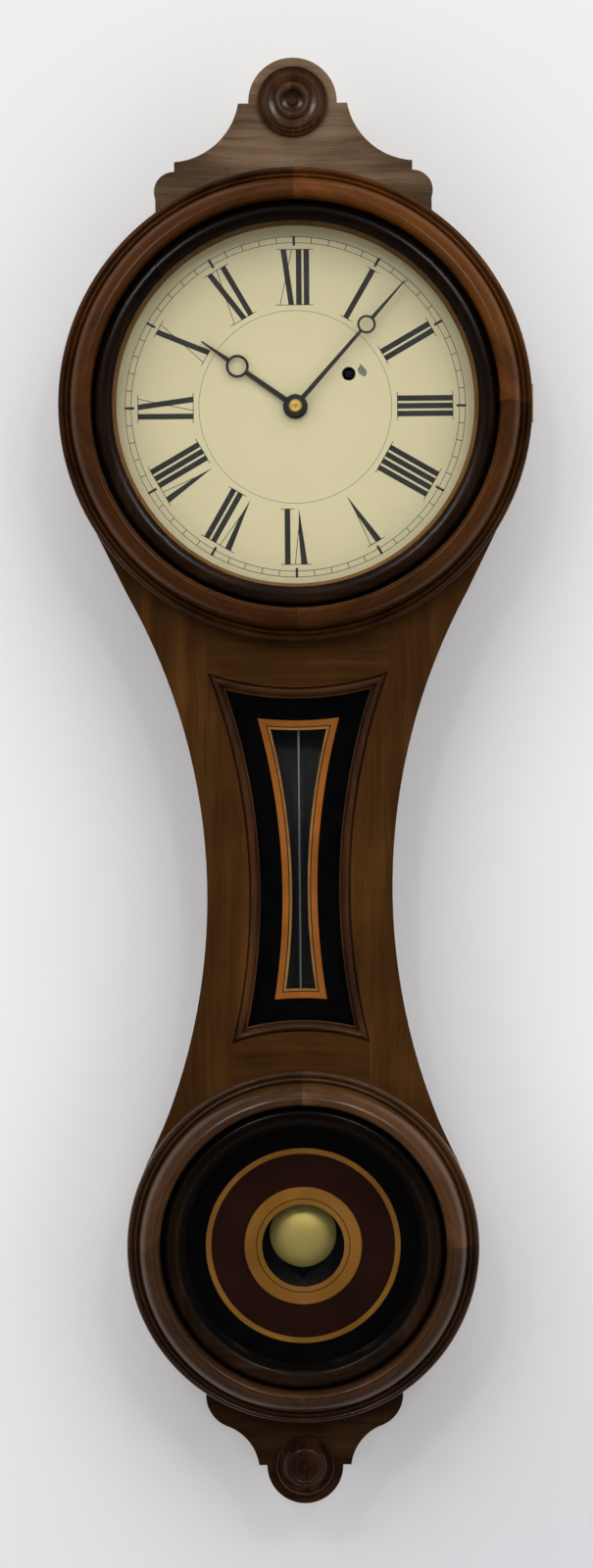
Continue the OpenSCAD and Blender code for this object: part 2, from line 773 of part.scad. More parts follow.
module door_ring(r, z, hinge_x, catch_x) {
    for (i = [0:3])
        intersection() {
            difference() {
                turned(0, z) polygon(bezel_profile(r));
                translate([hinge_x - leaf_w - touch, -door_back - leaf_t, z - hinge_l / 2 - touch])
                    cube([leaf_w, leaf_t + 1, hinge_l + 2 * touch]);
                translate([hinge_x - hinge_r - free, -hinge_depth - hinge_r - free, z - hinge_l / 2 - free])
                    cube([12, 12, hinge_l + 2 * free]);
                for (i = [-1:1])
                    bar(hinge_x - leaf_w + 5, z + 7.5 * i, 0.8 + run, door_back - 1, door_back + 8);
                bar(catch_x, z, 1.2 + run, door_back - 1, door_back + 8);
            }
            translate([0, 0, z]) quarter(90 * i, 220);
        }
}

module glazing_ring(r, z, glass_front) {
    for (i = [0:3])
        intersection() {
            turned(0, z) polygon(glazing_profile(r, glass_front));
            translate([0, 0, z]) quarter(90 * i + 45, 220);
        }
}

module door_glass(r, z, glass_front) {
    bar(0, z, r - 27.3, glass_front - 2, glass_front);
}

// A bead of putty behind the glass
module glass_bead(r, z, glass_front) {
    turned(0, z)
        polygon([
            [r - 31, glass_front - 2], [r - 27.2, glass_front - 2], [r - 27.2, glass_front - 4],
            [r - 28.4, glass_front - 4]]);
}

upper_glass_front = case_depth + 8;
lower_glass_front = case_depth + 5;
upper_catch_x = -upper_hinge_x + 16;
lower_catch_x = -lower_hinge_x + 11;

module upper_bezel() color(walnut) at_dial() {
    door_ring(upper_bezel_r, 0, upper_hinge_x, upper_catch_x);
}

module upper_glazing_ring() color(walnut) at_dial() {
    glazing_ring(upper_bezel_r, 0, upper_glass_front);
}

module upper_glass() color(glass) at_dial() {
    door_glass(upper_bezel_r, 0, upper_glass_front);
}

module upper_glass_bead() color(pine) at_dial() {
    glass_bead(upper_bezel_r, 0, upper_glass_front);
}

module upper_hinge_leaf() color(brass) at_dial() {
    door_leaf(upper_hinge_x, 0);
}

module lower_bezel() color(walnut) at_dial() {
    door_ring(lower_bezel_r, -centre_drop, lower_hinge_x, lower_catch_x);
}

module lower_glazing_ring() color(walnut) at_dial() {
    glazing_ring(lower_bezel_r, -centre_drop, lower_glass_front);
}

module lower_tablet() color(blued) at_dial() {
    door_glass(lower_bezel_r, -centre_drop, lower_glass_front);
}

module lower_glass_bead() color(pine) at_dial() {
    glass_bead(lower_bezel_r, -centre_drop, lower_glass_front);
}

module lower_hinge_leaf() color(brass) at_dial() {
    door_leaf(lower_hinge_x, -centre_drop);
}

// Three flush screws in the moving leaf, and the round stud that holds the door shut
module door_screws(x, z, catch_x) {
    for (i = [-1:1]) bar(x - leaf_w + 5, z + 7.5 * i, 0.8, door_back, door_back + 7);
    bar(catch_x, z, 1.2, door_back, door_back + 7);
    bar(catch_x, z, 2, case_depth - 4, door_back);
}

module upper_door_screws() color(brass) at_dial() {
    door_screws(upper_hinge_x, 0, upper_catch_x);
}

module lower_door_screws() color(brass) at_dial() {
    door_screws(lower_hinge_x, -centre_drop, lower_catch_x);
}

// Small brass screws: dial, fixed hinge leaves and hanger plate
module brass_wood_screws() color(brass) at_dial() {
    for (p = dial_screws) screw(p[0], p[1], dial_front, 4.5, 0.8, 2, 1);
    for (h = [[upper_hinge_x, 0], [lower_hinge_x, -centre_drop]], i = [-1:1])
        bar(h[0] - leaf_w + 5, h[1] + 7.5 * i, 0.8, case_depth - 7, case_depth);
    for (side = [-1, 1])
        bar(side * 22, hanger_above_dial, screw_r, 0, 8);
}

// Steel screws: movement to backboard, front plate to pillars, cock to front plate
module movement_screws() color(blued) at_dial() {
    for (p = feet_at) screw(p[0], p[1], back_plate_z + plate_t, 9, screw_r, 3.2, 2);
    for (p = pillar_at) screw(p[0], p[1], front_plate_z + plate_t, 10, screw_r, 3.2, 2);
    for (side = [-1, 1]) screw(9 * side, 66, front_plate_z + plate_t + 2.5, 5, screw_r, 2.8, 2);
}

// Toothed wheels

// Points of a wheel's outline: each tooth has a root, a shoulder and a tip on both flanks
function tooth_points(n, m, shape, phase) = [
    for (i = [0:n - 1], j = [0:5])
        let (k = j < 3 ? j : 5 - j,
             r = n * m / 2 + shape[k][0] * m,
             half = shape[k][1] * 90 * m / r,
             a = phase + 360 * i / n + (j < 3 ? -half : half))
        r * [cos(a), sin(a)]];

wheel_tooth = [[-1.6, 0.48], [0, 0.42], [0.9, 0.12]];
pinion_leaf = [[-1.3, 0.3], [0, 0.36], [0.6, 0.14]];

module toothed(x, z, n, m, shape, phase, back, front) {
    translate([x, 0, z]) slab(back, front) polygon(tooth_points(n, m, shape, phase));
}

// Openings that leave a wheel with a hub, a rim and four arms
module crossings(x, z, hub, rim, arm, back, front) {
    translate([x, 0, z])
        slab(back - 1, front + 1)
            difference() {
                circle(r = rim);
                circle(r = hub);
                for (a = [0, 90]) rotate(a) square([2 * rim + 2, arm], center = true);
            }
}

great_a = atan2(-winding_z, -winding_x);
third_a = atan2(third_z, third_x);
escape_a = atan2(escape_z - third_z, -third_x);

// Centre arbor with its pinion and wheel
module centre_wheel() color(brass) at_dial() {
    difference() {
        toothed(0, 0, centre_n, centre_m, wheel_tooth, third_a, 40, 41.8);
        crossings(0, 0, 5, 17.5, 3, 40, 41.8);
        bar(0, 0, 2, 39, 43);
    }
    bar(0, 0, 1.2, back_plate_z, back_plate_z + plate_t + 0.3);
    bar(0, 0, 2, back_plate_z + plate_t + 0.2, 44.8);
    bar(0, 0, 1.5, 44.8, 48.2);
    bar(0, 0, 1.2, 48.2, minute_hand_back + 3.5);
    toothed(0, 0, centre_pinion_n, great_m, pinion_leaf, great_a + 180 + 180 / centre_pinion_n, 17, 21.4);
}

module third_wheel() color(brass) at_dial() {
    difference() {
        toothed(third_x, third_z, third_n, third_m, wheel_tooth, escape_a, 26, 27.6);
        crossings(third_x, third_z, 4.5, 14.5, 2.6, 26, 27.6);
    }
    bar(third_x, third_z, 0.7, back_plate_z, front_plate_z + plate_t);
    bar(third_x, third_z, 1.4, back_plate_z + plate_t + 0.2, front_plate_z - 0.2);
    toothed(third_x, third_z, third_pinion_n, centre_m, pinion_leaf,
        third_a + 180 + 180 / third_pinion_n, 38.8, 43);
}

// Escape wheel: thirty pointed teeth that lean the way they turn
escape_n = 30;

module escape_wheel() color(brass) at_dial() {
    step = 360 / escape_n;
    points = [
        for (i = [0:escape_n - 1], p = [[10.6, 0], [escape_r, 0.16], [escape_r, 0.24], [10.6, 0.5]])
            p[0] * [cos(-(i + p[1]) * step), sin(-(i + p[1]) * step)]];
    difference() {
        translate([0, 0, escape_z]) slab(35, 36.2) polygon([for (i = [len(points) - 1:-1:0]) points[i]]);
        crossings(0, escape_z, 3.4, 8.8, 2, 35, 36.2);
    }
    bar(0, escape_z, 0.7, back_plate_z, front_plate_z + plate_t);
    bar(0, escape_z, 1.4, back_plate_z + plate_t + 0.2, front_plate_z - 0.2);
    toothed(0, escape_z, escape_pinion_n, third_m, pinion_leaf,
        escape_a + 180 + 180 / escape_pinion_n, 24.8, 28.8);
}

module pallet_arbor() color(steel) at_dial() {
    bar(0, pivot_z, 0.8, back_plate_z, back_plate_z + plate_t + 0.3);
    bar(0, pivot_z, 1.6, back_plate_z + plate_t + 0.2, front_plate_z - 0.2);
    bar(0, pivot_z, 1.3, front_plate_z - 0.2, 51);
}

// The anchor spans a quarter of the escape wheel, with a hardened pallet on each arm
module pallet_anchor() color(steel) at_dial() {
    arm = [[0, 2.6], [12.4, -6.4], [12.4, -9.4], [10.4, -8.4], [8.6, -5.6], [0, -1.6]];
    flipped = [for (i = [4:-1:1]) [-arm[i][0], arm[i][1]]];
    difference() {
        union() {
            bar(0, pivot_z, 4.2, 34.8, 36.4);
            translate([0, 0, pivot_z]) slab(34.8, 36.4) polygon(concat(arm, flipped));
        }
        bar(0, pivot_z, 1.6 + touch, 34, 37);
    }
}

// The crutch reaches down from the pallet arbor, and its two pins hold the pendulum rod between them
crutch_z = 24;

module crutch() color(brass) at_dial() {
    difference() {
        slab(48.4, 50) {
            translate([0, pivot_z]) circle(r = 3.2);
            translate([-1.3, crutch_z]) square([2.6, pivot_z - crutch_z]);
            translate([-3, crutch_z - 1.6]) square([6, 3.2]);
        }
        bar(0, pivot_z, 1.3 + touch, 47, 52);
    }
    for (side = [-1, 1]) bar(side * (rod_r + 0.15 + 0.5), crutch_z, 0.5, 50, pendulum_depth + 2);
}

// Pendulum

spring_t = 0.3;

module suspension_spring() color(steel) at_dial() {
    slab(pendulum_depth - 3.3, pendulum_depth + 3.3)
        translate([-spring_t / 2, pivot_z - 14]) square([spring_t, 14 + free - touch]);
}

// Top block, upper rod, the loop that clears the hands' arbors, and the lower rod
module pendulum_rod() color(steel) at_dial() {
    top = pivot_z - 11;
    loop_w = 2.5;
    difference() {
        slab(pendulum_depth - 4, pendulum_depth + 4) translate([-2.6, top - 7]) square([5.2, 7]);
        slab(pendulum_depth - 3.4, pendulum_depth + 3.4)
            translate([-spring_t / 2 - touch, top - 3.2]) square([spring_t + 2 * touch, 4]);
    }
    translate([0, -pendulum_depth, loop_r + 1]) cylinder(r = rod_r, h = top - 8 - loop_r);
    difference() {
        bar(0, 0, loop_r + loop_w, pendulum_depth - rod_r, pendulum_depth + rod_r);
        bar(0, 0, loop_r, pendulum_depth - 2, pendulum_depth + 2);
    }
    translate([0, -pendulum_depth, bob_z - bob_r - 7])
        cylinder(r = rod_r, h = -bob_z + bob_r + 7 - loop_r - 1);
}

// The bob: a turned brass disc, thicker at its middle, with a hole for the rod
module bob() color(brass) at_dial() {
    edge = 2.4;
    half = bob_t / 2;
    crown_r = (pow(bob_r, 2) + pow(half - edge, 2)) / (2 * (half - edge));
    difference() {
        intersection() {
            bar(0, bob_z, bob_r, pendulum_depth - half, pendulum_depth + half);
            translate([0, -pendulum_depth - half + crown_r, bob_z]) sphere(r = crown_r);
            translate([0, -pendulum_depth + half - crown_r, bob_z]) sphere(r = crown_r);
        }
        translate([0, -pendulum_depth, bob_z - bob_r - 1]) cylinder(r = rod_r + touch, h = 2 * bob_r + 2);
    }
}

module rating_nut() color(blued) at_dial() {
    translate([0, -pendulum_depth, bob_z - bob_r - 3.4])
        difference() {
            cylinder(r = 3, h = 3.2);
            translate([0, 0, -1]) cylinder(r = rod_r + touch, h = 6);
        }
}

// Motion work and hands

module cannon_pinion() color(brass) at_dial() {
    difference() {
        union() {
            toothed(0, 0, cannon_n, motion_m, pinion_leaf, stud_a + 180 / cannon_n, 48.4, 50.4);
            bar(0, 0, 2.2, 48.4, minute_hand_back + hand_t);
        }
        bar(0, 0, 1.2 + touch, 47, minute_hand_back + 2);
    }
}

module minute_wheel() color(brass) at_dial() {
    difference() {
        union() {
            toothed(stud_x, stud_z, minute_n, motion_m, wheel_tooth, stud_a + 180, 48.5, 49.9);
            toothed(stud_x, stud_z, minute_pinion_n, motion_pinion_m, pinion_leaf,
                stud_a + 180 + 180 / minute_pinion_n, 49.9, 53);
        }
        bar(stud_x, stud_z, 1.1 + run, 47, 54);
    }
}

module hour_wheel() color(brass) at_dial() {
    difference() {
        union() {
            toothed(0, 0, hour_n, motion_pinion_m, wheel_tooth, stud_a, 51, 52.4);
            bar(0, 0, 3.1, 51, hour_hand_back + 1);
        }
        bar(0, 0, 2.2 + run, 50, hour_hand_back + 2);
    }
}

// A hand with an open circle near its tip: hub, arm, circle and a long point
module hand(hub_r, bore_r, arm, circle_at, circle_r, hole_r, tip) {
    difference() {
        union() {
            circle(r = hub_r);
            translate([0, circle_at]) circle(r = circle_r);
            polygon([[-arm[0] / 2, 0], [arm[0] / 2, 0], [arm[1] / 2, circle_at - hole_r - 0.6],
                [-arm[1] / 2, circle_at - hole_r - 0.6]]);
            polygon([[-arm[2] / 2, circle_at + hole_r + 0.5], [arm[2] / 2, circle_at + hole_r + 0.5],
                [arm[3] / 2, tip], [-arm[3] / 2, tip]]);
        }
        circle(r = bore_r);
        translate([0, circle_at]) circle(r = hole_r);
    }
}

module minute_hand() color(blued) at_dial() {
    slab(minute_hand_back, minute_hand_back + hand_t) rotate(-minute_a)
        hand(6, 2.2 + touch, [3, 2, 2.4, 0.7], 0.651 * minute_l, 5.6, 4.2, minute_l);
}

module hour_hand() color(blued) at_dial() {
    slab(hour_hand_back, hour_hand_back + hand_t) rotate(-hour_a)
        hand(7.4, 3.1 + touch, [3.4, 2.8, 2.8, 0.8], 0.6175 * hour_l, 6.9, 5.3, hour_l);
}

module hand_nut() color(brass) at_dial() {
    back = minute_hand_back + hand_t + 0.1;
    bore = 1.2 + touch;
    difference() {
        turned() polygon([[bore, back], [4, back], [4, back + 1.6], [3.2, back + 2.4], [bore, back + 2.4]]);
        for (x = [-5, 1.8]) translate([x, -back - 3, -0.4]) cube([3.2, 1.3, 0.8]);
    }
}

// Winding work

great_back = 17.8;
ratchet_back = 20.7;
ratchet_r = 12.6;
ratchet_n = 36;
click_gap = 0.25;
click_a = 60;
click_at = [20, 0];

module great_wheel() color(brass) at_dial() {
    pivot = [winding_x, winding_z] + click_at[0] * [cos(click_a), sin(click_a)];
    difference() {
        toothed(winding_x, winding_z, great_n, great_m, wheel_tooth, great_a, great_back, great_back + 2.4);
        bar(winding_x, winding_z, 3 + run, great_back - 1, great_back + 3);
        bar(pivot[0], pivot[1], 1.1, great_back - 1, great_back + 3);
    }
    bar(pivot[0], pivot[1], 1.1, great_back, ratchet_back + 2.4);
}

// The winding arbor with its ratchet, squared in front for the key
module winding_arbor() color(steel) at_dial() {
    step = 360 / ratchet_n;
    teeth = [
        for (i = [0:ratchet_n - 1], p = [[ratchet_r, 0], [ratchet_r - 1.5, 0.12]])
            p[0] * [cos((i + p[1]) * step), sin((i + p[1]) * step)]];
    bar(winding_x, winding_z, 1.5, back_plate_z, back_plate_z + plate_t + 0.3);
    bar(winding_x, winding_z, 3, back_plate_z + plate_t + 0.2, front_plate_z - 0.2);
    bar(winding_x, winding_z, 2.7, front_plate_z - 0.2, front_plate_z + plate_t + 0.5);
    slab(front_plate_z + plate_t, dial_front - 0.5)
        translate([winding_x, winding_z]) square(3.7, center = true);
    translate([winding_x, 0, winding_z]) slab(ratchet_back, ratchet_back + 1.5) polygon(teeth);
}

module cable_drum() color(brass) at_dial() {
    back = ratchet_back + 1.7;
    difference() {
        union() {
            bar(winding_x, winding_z, drum_r, back, 43.8);
            bar(winding_x, winding_z, drum_r + 3, back, back + 1);
            bar(winding_x, winding_z, drum_r + 3, 43, 44);
        }
        bar(winding_x, winding_z, 3 + touch, back - 1, 45);
    }
}

// The click rides over the ratchet's teeth, on a stud in the great wheel
module click() color(steel) at_dial() {
    reach = ratchet_r + click_gap;
    difference() {
        translate([winding_x, 0, winding_z])
            slab(ratchet_back, ratchet_back + 1.5)
                rotate(click_a) {
                    translate(click_at) circle(r = 2.6);
                    polygon([[22, 2], [18.4, 2], [reach + 0.4, -8.6], [reach - 1.6, -9.6],
                        [reach + 1.6, -10.2], [22, -1]]);
                }
        translate([winding_x, 0, winding_z])
            slab(20, 23) rotate(click_a) translate(click_at) circle(r = 1.1 + run);
    }
}

// A bent steel strip that presses on the back of the click
module click_spring() color(steel) at_dial() {
    translate([winding_x, 0, winding_z])
        slab(great_back + 2.4, ratchet_back + 1.5)
            rotate(click_a) {
                translate([27.5, -14.5]) circle(r = 2);
                polygon([[27, -14], [27.8, -14], [23.4, -1], [22.8, -1.6]]);
            }
}

// Weight, pulley and cable

// The iron weight, with the stirrup and pin that the pulley turns on
module weight() color(iron) at_dial() {
    slab(cable_depth - weight_t / 2, cable_depth + weight_t / 2)
        translate([pulley_x - weight_w / 2, weight_bottom]) square([weight_w, weight_h]);
    for (side = [-1, 1])
        slab(cable_depth + side * 4.4 - 0.8, cable_depth + side * 4.4 + 0.8)
            translate([pulley_x - 5, weight_top + 1.6]) square([10, pulley_z - weight_top + 3.4]);
    slab(cable_depth - 5.2, cable_depth + 5.2) translate([pulley_x - 5, weight_top]) square([10, 3]);
    bar(pulley_x, pulley_z, 1.5, cable_depth - 5.2, cable_depth + 5.2);
}

module pulley() color(brass) at_dial() {
    half = 2.6;
    groove = pulley_r - cable_r - touch;
    difference() {
        turned(pulley_x, pulley_z)
            polygon([
                [1.5 + run, cable_depth - half], [pulley_rim, cable_depth - half],
                [groove, cable_depth - 0.4], [groove, cable_depth + 0.4],
                [pulley_rim, cable_depth + half], [1.5 + run, cable_depth + half]]);
        for (a = [0:72:288])
            bar(pulley_x + 8.5 * cos(a), pulley_z + 8.5 * sin(a), 2.6, cable_depth - 4, cable_depth + 4);
    }
}

// One turn on the drum, down to the pulley, round it and up to the post on the back plate
module weight_cable() color(steel) at_dial() {
    cable_turn(winding_x, winding_z, wind_r, 180, -340);
    translate([cable_x, -cable_depth, pulley_z]) cylinder(r = cable_r, h = winding_z - pulley_z);
    translate([pulley_x - pulley_r, -cable_depth, pulley_z]) cylinder(r = cable_r, h = -29 - pulley_z);
    cable_turn(pulley_x, pulley_z, pulley_r, 180, 180);
}

// Part of a turn of the cable about an axis that points into the wall
module cable_turn(x, z, r, start, sweep) {
    translate([x, -cable_depth, z])
        rotate([90, 0, 0])
            rotate([0, 0, sweep > 0 ? start : start + sweep])
                rotate_extrude(angle = abs(sweep)) translate([r, 0]) circle(r = cable_r);
}

backboard();
case_sides();
upper_front_ring();
lower_front_ring();
front_stiles();
throat_rails();
crest();
drop();
rosettes();
wood_blocks();
throat_moulding();
throat_tablet();
dial();
hanger_plate();
chute_sides();
weight_baffle();
back_plate();
front_plate();
pillars();
suspension_cock();
case_hinge_leaves();
hinge_pins();
weight_cable();
brass_wood_screws();
movement_screws();
upper_bezel();
upper_glazing_ring();
upper_glass();
upper_glass_bead();
upper_hinge_leaf();
upper_door_screws();
lower_bezel();
lower_glazing_ring();
lower_tablet();
lower_glass_bead();
lower_hinge_leaf();
lower_door_screws();
suspension_spring();
pendulum_rod();
bob();
rating_nut();
pallet_arbor();
pallet_anchor();
crutch();
centre_wheel();
cannon_pinion();
minute_hand();
hand_nut();
minute_wheel();
hour_wheel();
hour_hand();
great_wheel();
click_spring();
click();
winding_arbor();
cable_drum();
third_wheel();
escape_wheel();
weight();
pulley();
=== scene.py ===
import json
import math

import bmesh
import bpy
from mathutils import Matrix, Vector


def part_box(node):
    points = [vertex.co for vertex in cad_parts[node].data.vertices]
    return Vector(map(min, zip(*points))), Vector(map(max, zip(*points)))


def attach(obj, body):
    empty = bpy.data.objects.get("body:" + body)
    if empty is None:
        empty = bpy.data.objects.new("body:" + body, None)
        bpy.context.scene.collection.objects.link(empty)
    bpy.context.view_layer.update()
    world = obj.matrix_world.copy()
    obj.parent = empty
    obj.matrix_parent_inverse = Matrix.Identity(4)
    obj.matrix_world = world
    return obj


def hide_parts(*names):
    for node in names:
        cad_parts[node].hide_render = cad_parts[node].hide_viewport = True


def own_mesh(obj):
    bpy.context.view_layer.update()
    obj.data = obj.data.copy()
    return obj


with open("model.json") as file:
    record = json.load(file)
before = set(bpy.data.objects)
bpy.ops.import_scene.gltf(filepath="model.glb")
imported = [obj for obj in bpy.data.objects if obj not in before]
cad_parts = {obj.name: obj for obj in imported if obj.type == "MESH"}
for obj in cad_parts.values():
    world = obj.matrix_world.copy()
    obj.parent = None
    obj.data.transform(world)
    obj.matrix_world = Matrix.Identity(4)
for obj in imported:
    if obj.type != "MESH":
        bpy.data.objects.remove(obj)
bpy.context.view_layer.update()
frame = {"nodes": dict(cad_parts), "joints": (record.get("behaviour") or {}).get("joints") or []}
nodes = frame["nodes"]

MM = 0.001


# Backboard and sides. Plain walnut boards under the same satin lacquer as the front: the back is one
# broad board with its grain upright, and each side is three sawn pieces glued end to end.
class Wire:
    """One output of a finish's nodes. Arithmetic on it adds Math nodes."""

    def __init__(self, tree, socket=None):
        self.tree = tree
        self.socket = socket

    def node(self, kind, settings=None, values=None, output=0):
        """Adds a node: its settings first, then the values or wires of its sockets."""
        made = self.tree.nodes.new("ShaderNode" + kind)
        for name, value in (settings or {}).items():
            if name == "stops":
                ramp = made.color_ramp.elements
                while len(ramp) < len(value):
                    ramp.new(0.5)
                for stop, (place, colour) in zip(ramp, value):
                    stop.position = place
                    stop.color = colour
            else:
                setattr(made, name, value)
        for name, value in (values or {}).items():
            if isinstance(value, Wire):
                self.tree.links.new(value.socket, made.inputs[name])
            else:
                made.inputs[name].default_value = value
        return Wire(self.tree, made.outputs[output])

    def outputs(self, kind, *names):
        """Feeds this wire to a node that takes it apart, and returns the named outputs."""
        made = self.tree.nodes.new("ShaderNode" + kind)
        self.tree.links.new(self.socket, made.inputs[0])
        return [Wire(self.tree, made.outputs[name]) for name in names]

    def feed(self, shader, *names):
        for name in names:
            self.tree.links.new(self.socket, shader.inputs[name])

    def math(self, operation, first, second):
        return self.node("Math", {"operation": operation}, {0: first, 1: second})

    def __add__(self, other):
        return self.math("ADD", self, other)

    __radd__ = __add__

    def __sub__(self, other):
        return self.math("SUBTRACT", self, other)

    def __rsub__(self, other):
        return self.math("SUBTRACT", other, self)

    def __mul__(self, other):
        return self.math("MULTIPLY", self, other)

    def __truediv__(self, other):
        return self.math("DIVIDE", self, other)

    def __gt__(self, other):
        return self.math("GREATER_THAN", self, other)

    def __abs__(self):
        return self.node("Math", {"operation": "ABSOLUTE"}, {0: self})


def tint(red, green, blue):
    """A colour as it is seen, 0 to 255, in the linear values that a shader takes."""
    shares = [value / 255 for value in (red, green, blue)]
    return tuple(v / 12.92 if v <= 0.04045 else ((v + 0.055) / 1.055) ** 2.4 for v in shares) + (1,)


def place_of(material):
    """The place on the object in mm, for a finish."""
    metres = Wire(material.node_tree).node("TexCoord", output="Object")
    return metres.node("VectorMath", {"operation": "SCALE"}, {0: metres, "Scale": 1 / MM})


def new_finish(name, **fixed):
    """A material with fixed sockets: returns it, its shader and the place on the object in mm."""
    material = bpy.data.materials.new(name)
    material.use_nodes = True
    shader = material.node_tree.nodes["Principled BSDF"]
    for socket, value in fixed.items():
        shader.inputs[socket.replace("_", " ")].default_value = value
    return material, shader, place_of(material)


def between(wire, low, high):
    """0 below low, 1 above high and a smooth step between them."""
    steps = {"interpolation_type": "SMOOTHSTEP"}
    return wire.node("MapRange", steps, {0: wire, 1: low, 2: high, 3: 0.0, 4: 1.0})


def blend(under, over, share):
    """One colour over another, in a share that is a number or a wire."""
    wire = share if isinstance(share, Wire) else under
    mixed = {"data_type": "RGBA"}
    return wire.node("Mix", mixed, {0: share, 6: under, 7: over}, output=2)


def cloud(place, size, detail=3.0, rough=0.55):
    """Soft noise whose lumps are about one size, in mm, or three sizes along X, Y and Z."""
    sizes = size if isinstance(size, tuple) else (size, size, size)
    scaled = place.node("VectorMath", {"operation": "DIVIDE"}, {0: place, 1: sizes})
    values = {"Vector": scaled, "Scale": 1.0, "Detail": detail, "Roughness": rough}
    return scaled.node("TexNoise", {}, values)


def relief(height, strength, depth_mm):
    """A bump from a height between 0 and 1."""
    return height.node("Bump", {}, {"Height": height, "Strength": strength, "Distance": depth_mm * MM})


BOARD_SHIFT = 37.0
BEND = 16.0


def spot(x, y, z):
    """A place from three shares, of which the first is a wire."""
    return x.node("CombineXYZ", {}, {0: x, 1: y, 2: z})


def walnut(name, lay, shades, gloss=0.5, tone_and_light=None, quiet=1.0):
    """Lacquered walnut. lay turns a place into across the grain, along it, through it and the board's
    number; a tone function, when given, adds to the tone, and its callers use it for painted light and
    shade; quiet below 1 is for a calmer figure."""
    material, shader, place = new_finish(name, Roughness=0.5, Coat_Weight=gloss, Coat_Roughness=0.2,
                                         Specular_IOR_Level=0.0)
    across, along, through, board = lay(place)
    shifted = through + board * BOARD_SHIFT
    here = spot(across, along, shifted)
    bend = cloud(here, (45.0, 160.0, 45.0), 2.0)
    bent = spot(across + bend * BEND, along, shifted)
    figure = cloud(bent, (9.0, 170.0, 12.0), 3.0, 0.6)
    streak = cloud(bent, (1.7, 70.0, 2.2), 3.0, 0.6)
    pores = cloud(bent, (0.32, 7.0, 0.5), 1.0, 0.5)
    patch = cloud(here, (38.0, 60.0, 38.0), 2.0)
    tone = (figure * 0.55 + streak * 0.3 + patch * 0.45 - 0.65) * quiet + 0.5
    if tone_and_light:
        tone = tone + tone_and_light(place)
    dark, middle, pale = shades
    colour = tone.node("ValToRGB", {"stops": [(0.30, dark), (0.50, middle), (0.74, pale)]}, {0: tone})
    open_pore = between(pores, 0.60, 0.70)
    colour = blend(colour, dark, open_pore * 0.4)
    colour.feed(shader, "Base Color")
    (0.36 + streak * 0.12 + open_pore * 0.1).feed(shader, "Roughness")
    relief(streak * 0.5 - open_pore * 0.7, 0.35, 0.12).feed(shader, "Normal")
    return material


def upright(place):
    """Grain that runs up and down."""
    x, y, z = place.outputs("SeparateXYZ", "X", "Y", "Z")
    return x, z, y, between(x, -1.0, 1.0)


case_shades = (tint(34, 19, 7), tint(61, 37, 14), tint(92, 59, 26))


def wrap(name, material):
    """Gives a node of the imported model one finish."""
    slots = nodes[name].material_slots
    for slot in slots:
        slot.link = "OBJECT"
        slot.material = material
    if not slots:
        nodes[name].data.materials.append(material)


board_walnut = walnut("board_walnut", upright, case_shades, 0.25, None, 0.55)
wrap("backboard", board_walnut)
wrap("case_sides", board_walnut)


# Front boards. The two rings are four sawn segments each, with straight grain that follows each
# segment's chord; between them two stiles with upright grain meet two rails with level grain.
dial_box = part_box("dial")
DIAL_Z = (dial_box[0].z + dial_box[1].z) / 2 / MM
low_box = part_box("lower_bezel")
LOW_Z = (low_box[0].z + low_box[1].z) / 2 / MM
BETWEEN_RAILS = -310.0
TO_DIAGONAL = 0.7071


def level(place):
    """Grain that runs from side to side, in boards above and below the middle of the throat."""
    x, y, z = place.outputs("SeparateXYZ", "X", "Y", "Z")
    return z, x, y, between(z, BETWEEN_RAILS - 1, BETWEEN_RAILS + 1)


def ring_lay(centre_z, turned_by_half=False):
    """Grain along the chords of a ring's segments, which meet upright and level or at 45 degrees."""

    def lay(place):
        x, y, z = place.outputs("SeparateXYZ", "X", "Y", "Z")
        up = z - centre_z
        board = (x > 0.0) * 1.0 + (up > 0.0) * 2.0
        across = (abs(x) + abs(up)) * TO_DIAGONAL
        along = (abs(x) - abs(up)) * TO_DIAGONAL
        if turned_by_half:
            sideways = abs(x) > abs(up)
            board = sideways + (x + up > 0.0) * 2.0
            across = abs(x) * sideways + abs(up) * (1 - sideways)
            along = up * sideways + x * (1 - sideways)
        return across, along, y, board

    return lay


wrap("upper_front_ring", walnut("upper_board_walnut", ring_lay(DIAL_Z), case_shades, 0.3, None, 0.65))
wrap("lower_front_ring", walnut("lower_board_walnut", ring_lay(LOW_Z), case_shades, 0.3, None, 0.65))
wrap("front_stiles", walnut("stile_walnut", upright, case_shades, 0.4, None, 0.65))
wrap("throat_rails", walnut("rail_walnut", level, case_shades, 0.4, None, 0.65))


# Crest, drop and rosettes. The crest's board is greyer and drier than the case, with level grain that
# shows as fine pale and dark lines; the drop and the two turned rosettes are darker.
crest_shades = (tint(48, 34, 22), tint(84, 66, 49), tint(124, 102, 80))
drop_shades = (tint(20, 11, 4), tint(36, 22, 10), tint(58, 38, 20))
rosette_shades = (tint(28, 13, 4), tint(56, 32, 14), tint(90, 58, 28))


def painted_crest_light(place):
    """Painted light: the crest is painted paler in its middle, below the rosette, where the light on it
    is brightest, and a little darker elsewhere.
    """
    (x,) = place.outputs("SeparateXYZ", "X")
    return (1 - between(abs(x), 10.0, 75.0)) * 0.22 - 0.07


wrap("crest", walnut("crest_walnut", level, crest_shades, 0.2, painted_crest_light))
wrap("drop", walnut("drop_walnut", level, drop_shades, 0.35))


def lower_rosette_tone(place):
    """The rosette on the drop is the darker one."""
    (z,) = place.outputs("SeparateXYZ", "Z")
    return between(z, -500, -400) * 0.14 - 0.14


def add_piece(name, mesh, body):
    """Puts a made mesh in the scene as a piece that rides on a body."""
    made = bpy.data.objects.new(name, mesh)
    bpy.context.scene.collection.objects.link(made)
    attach(made, body)
    return made


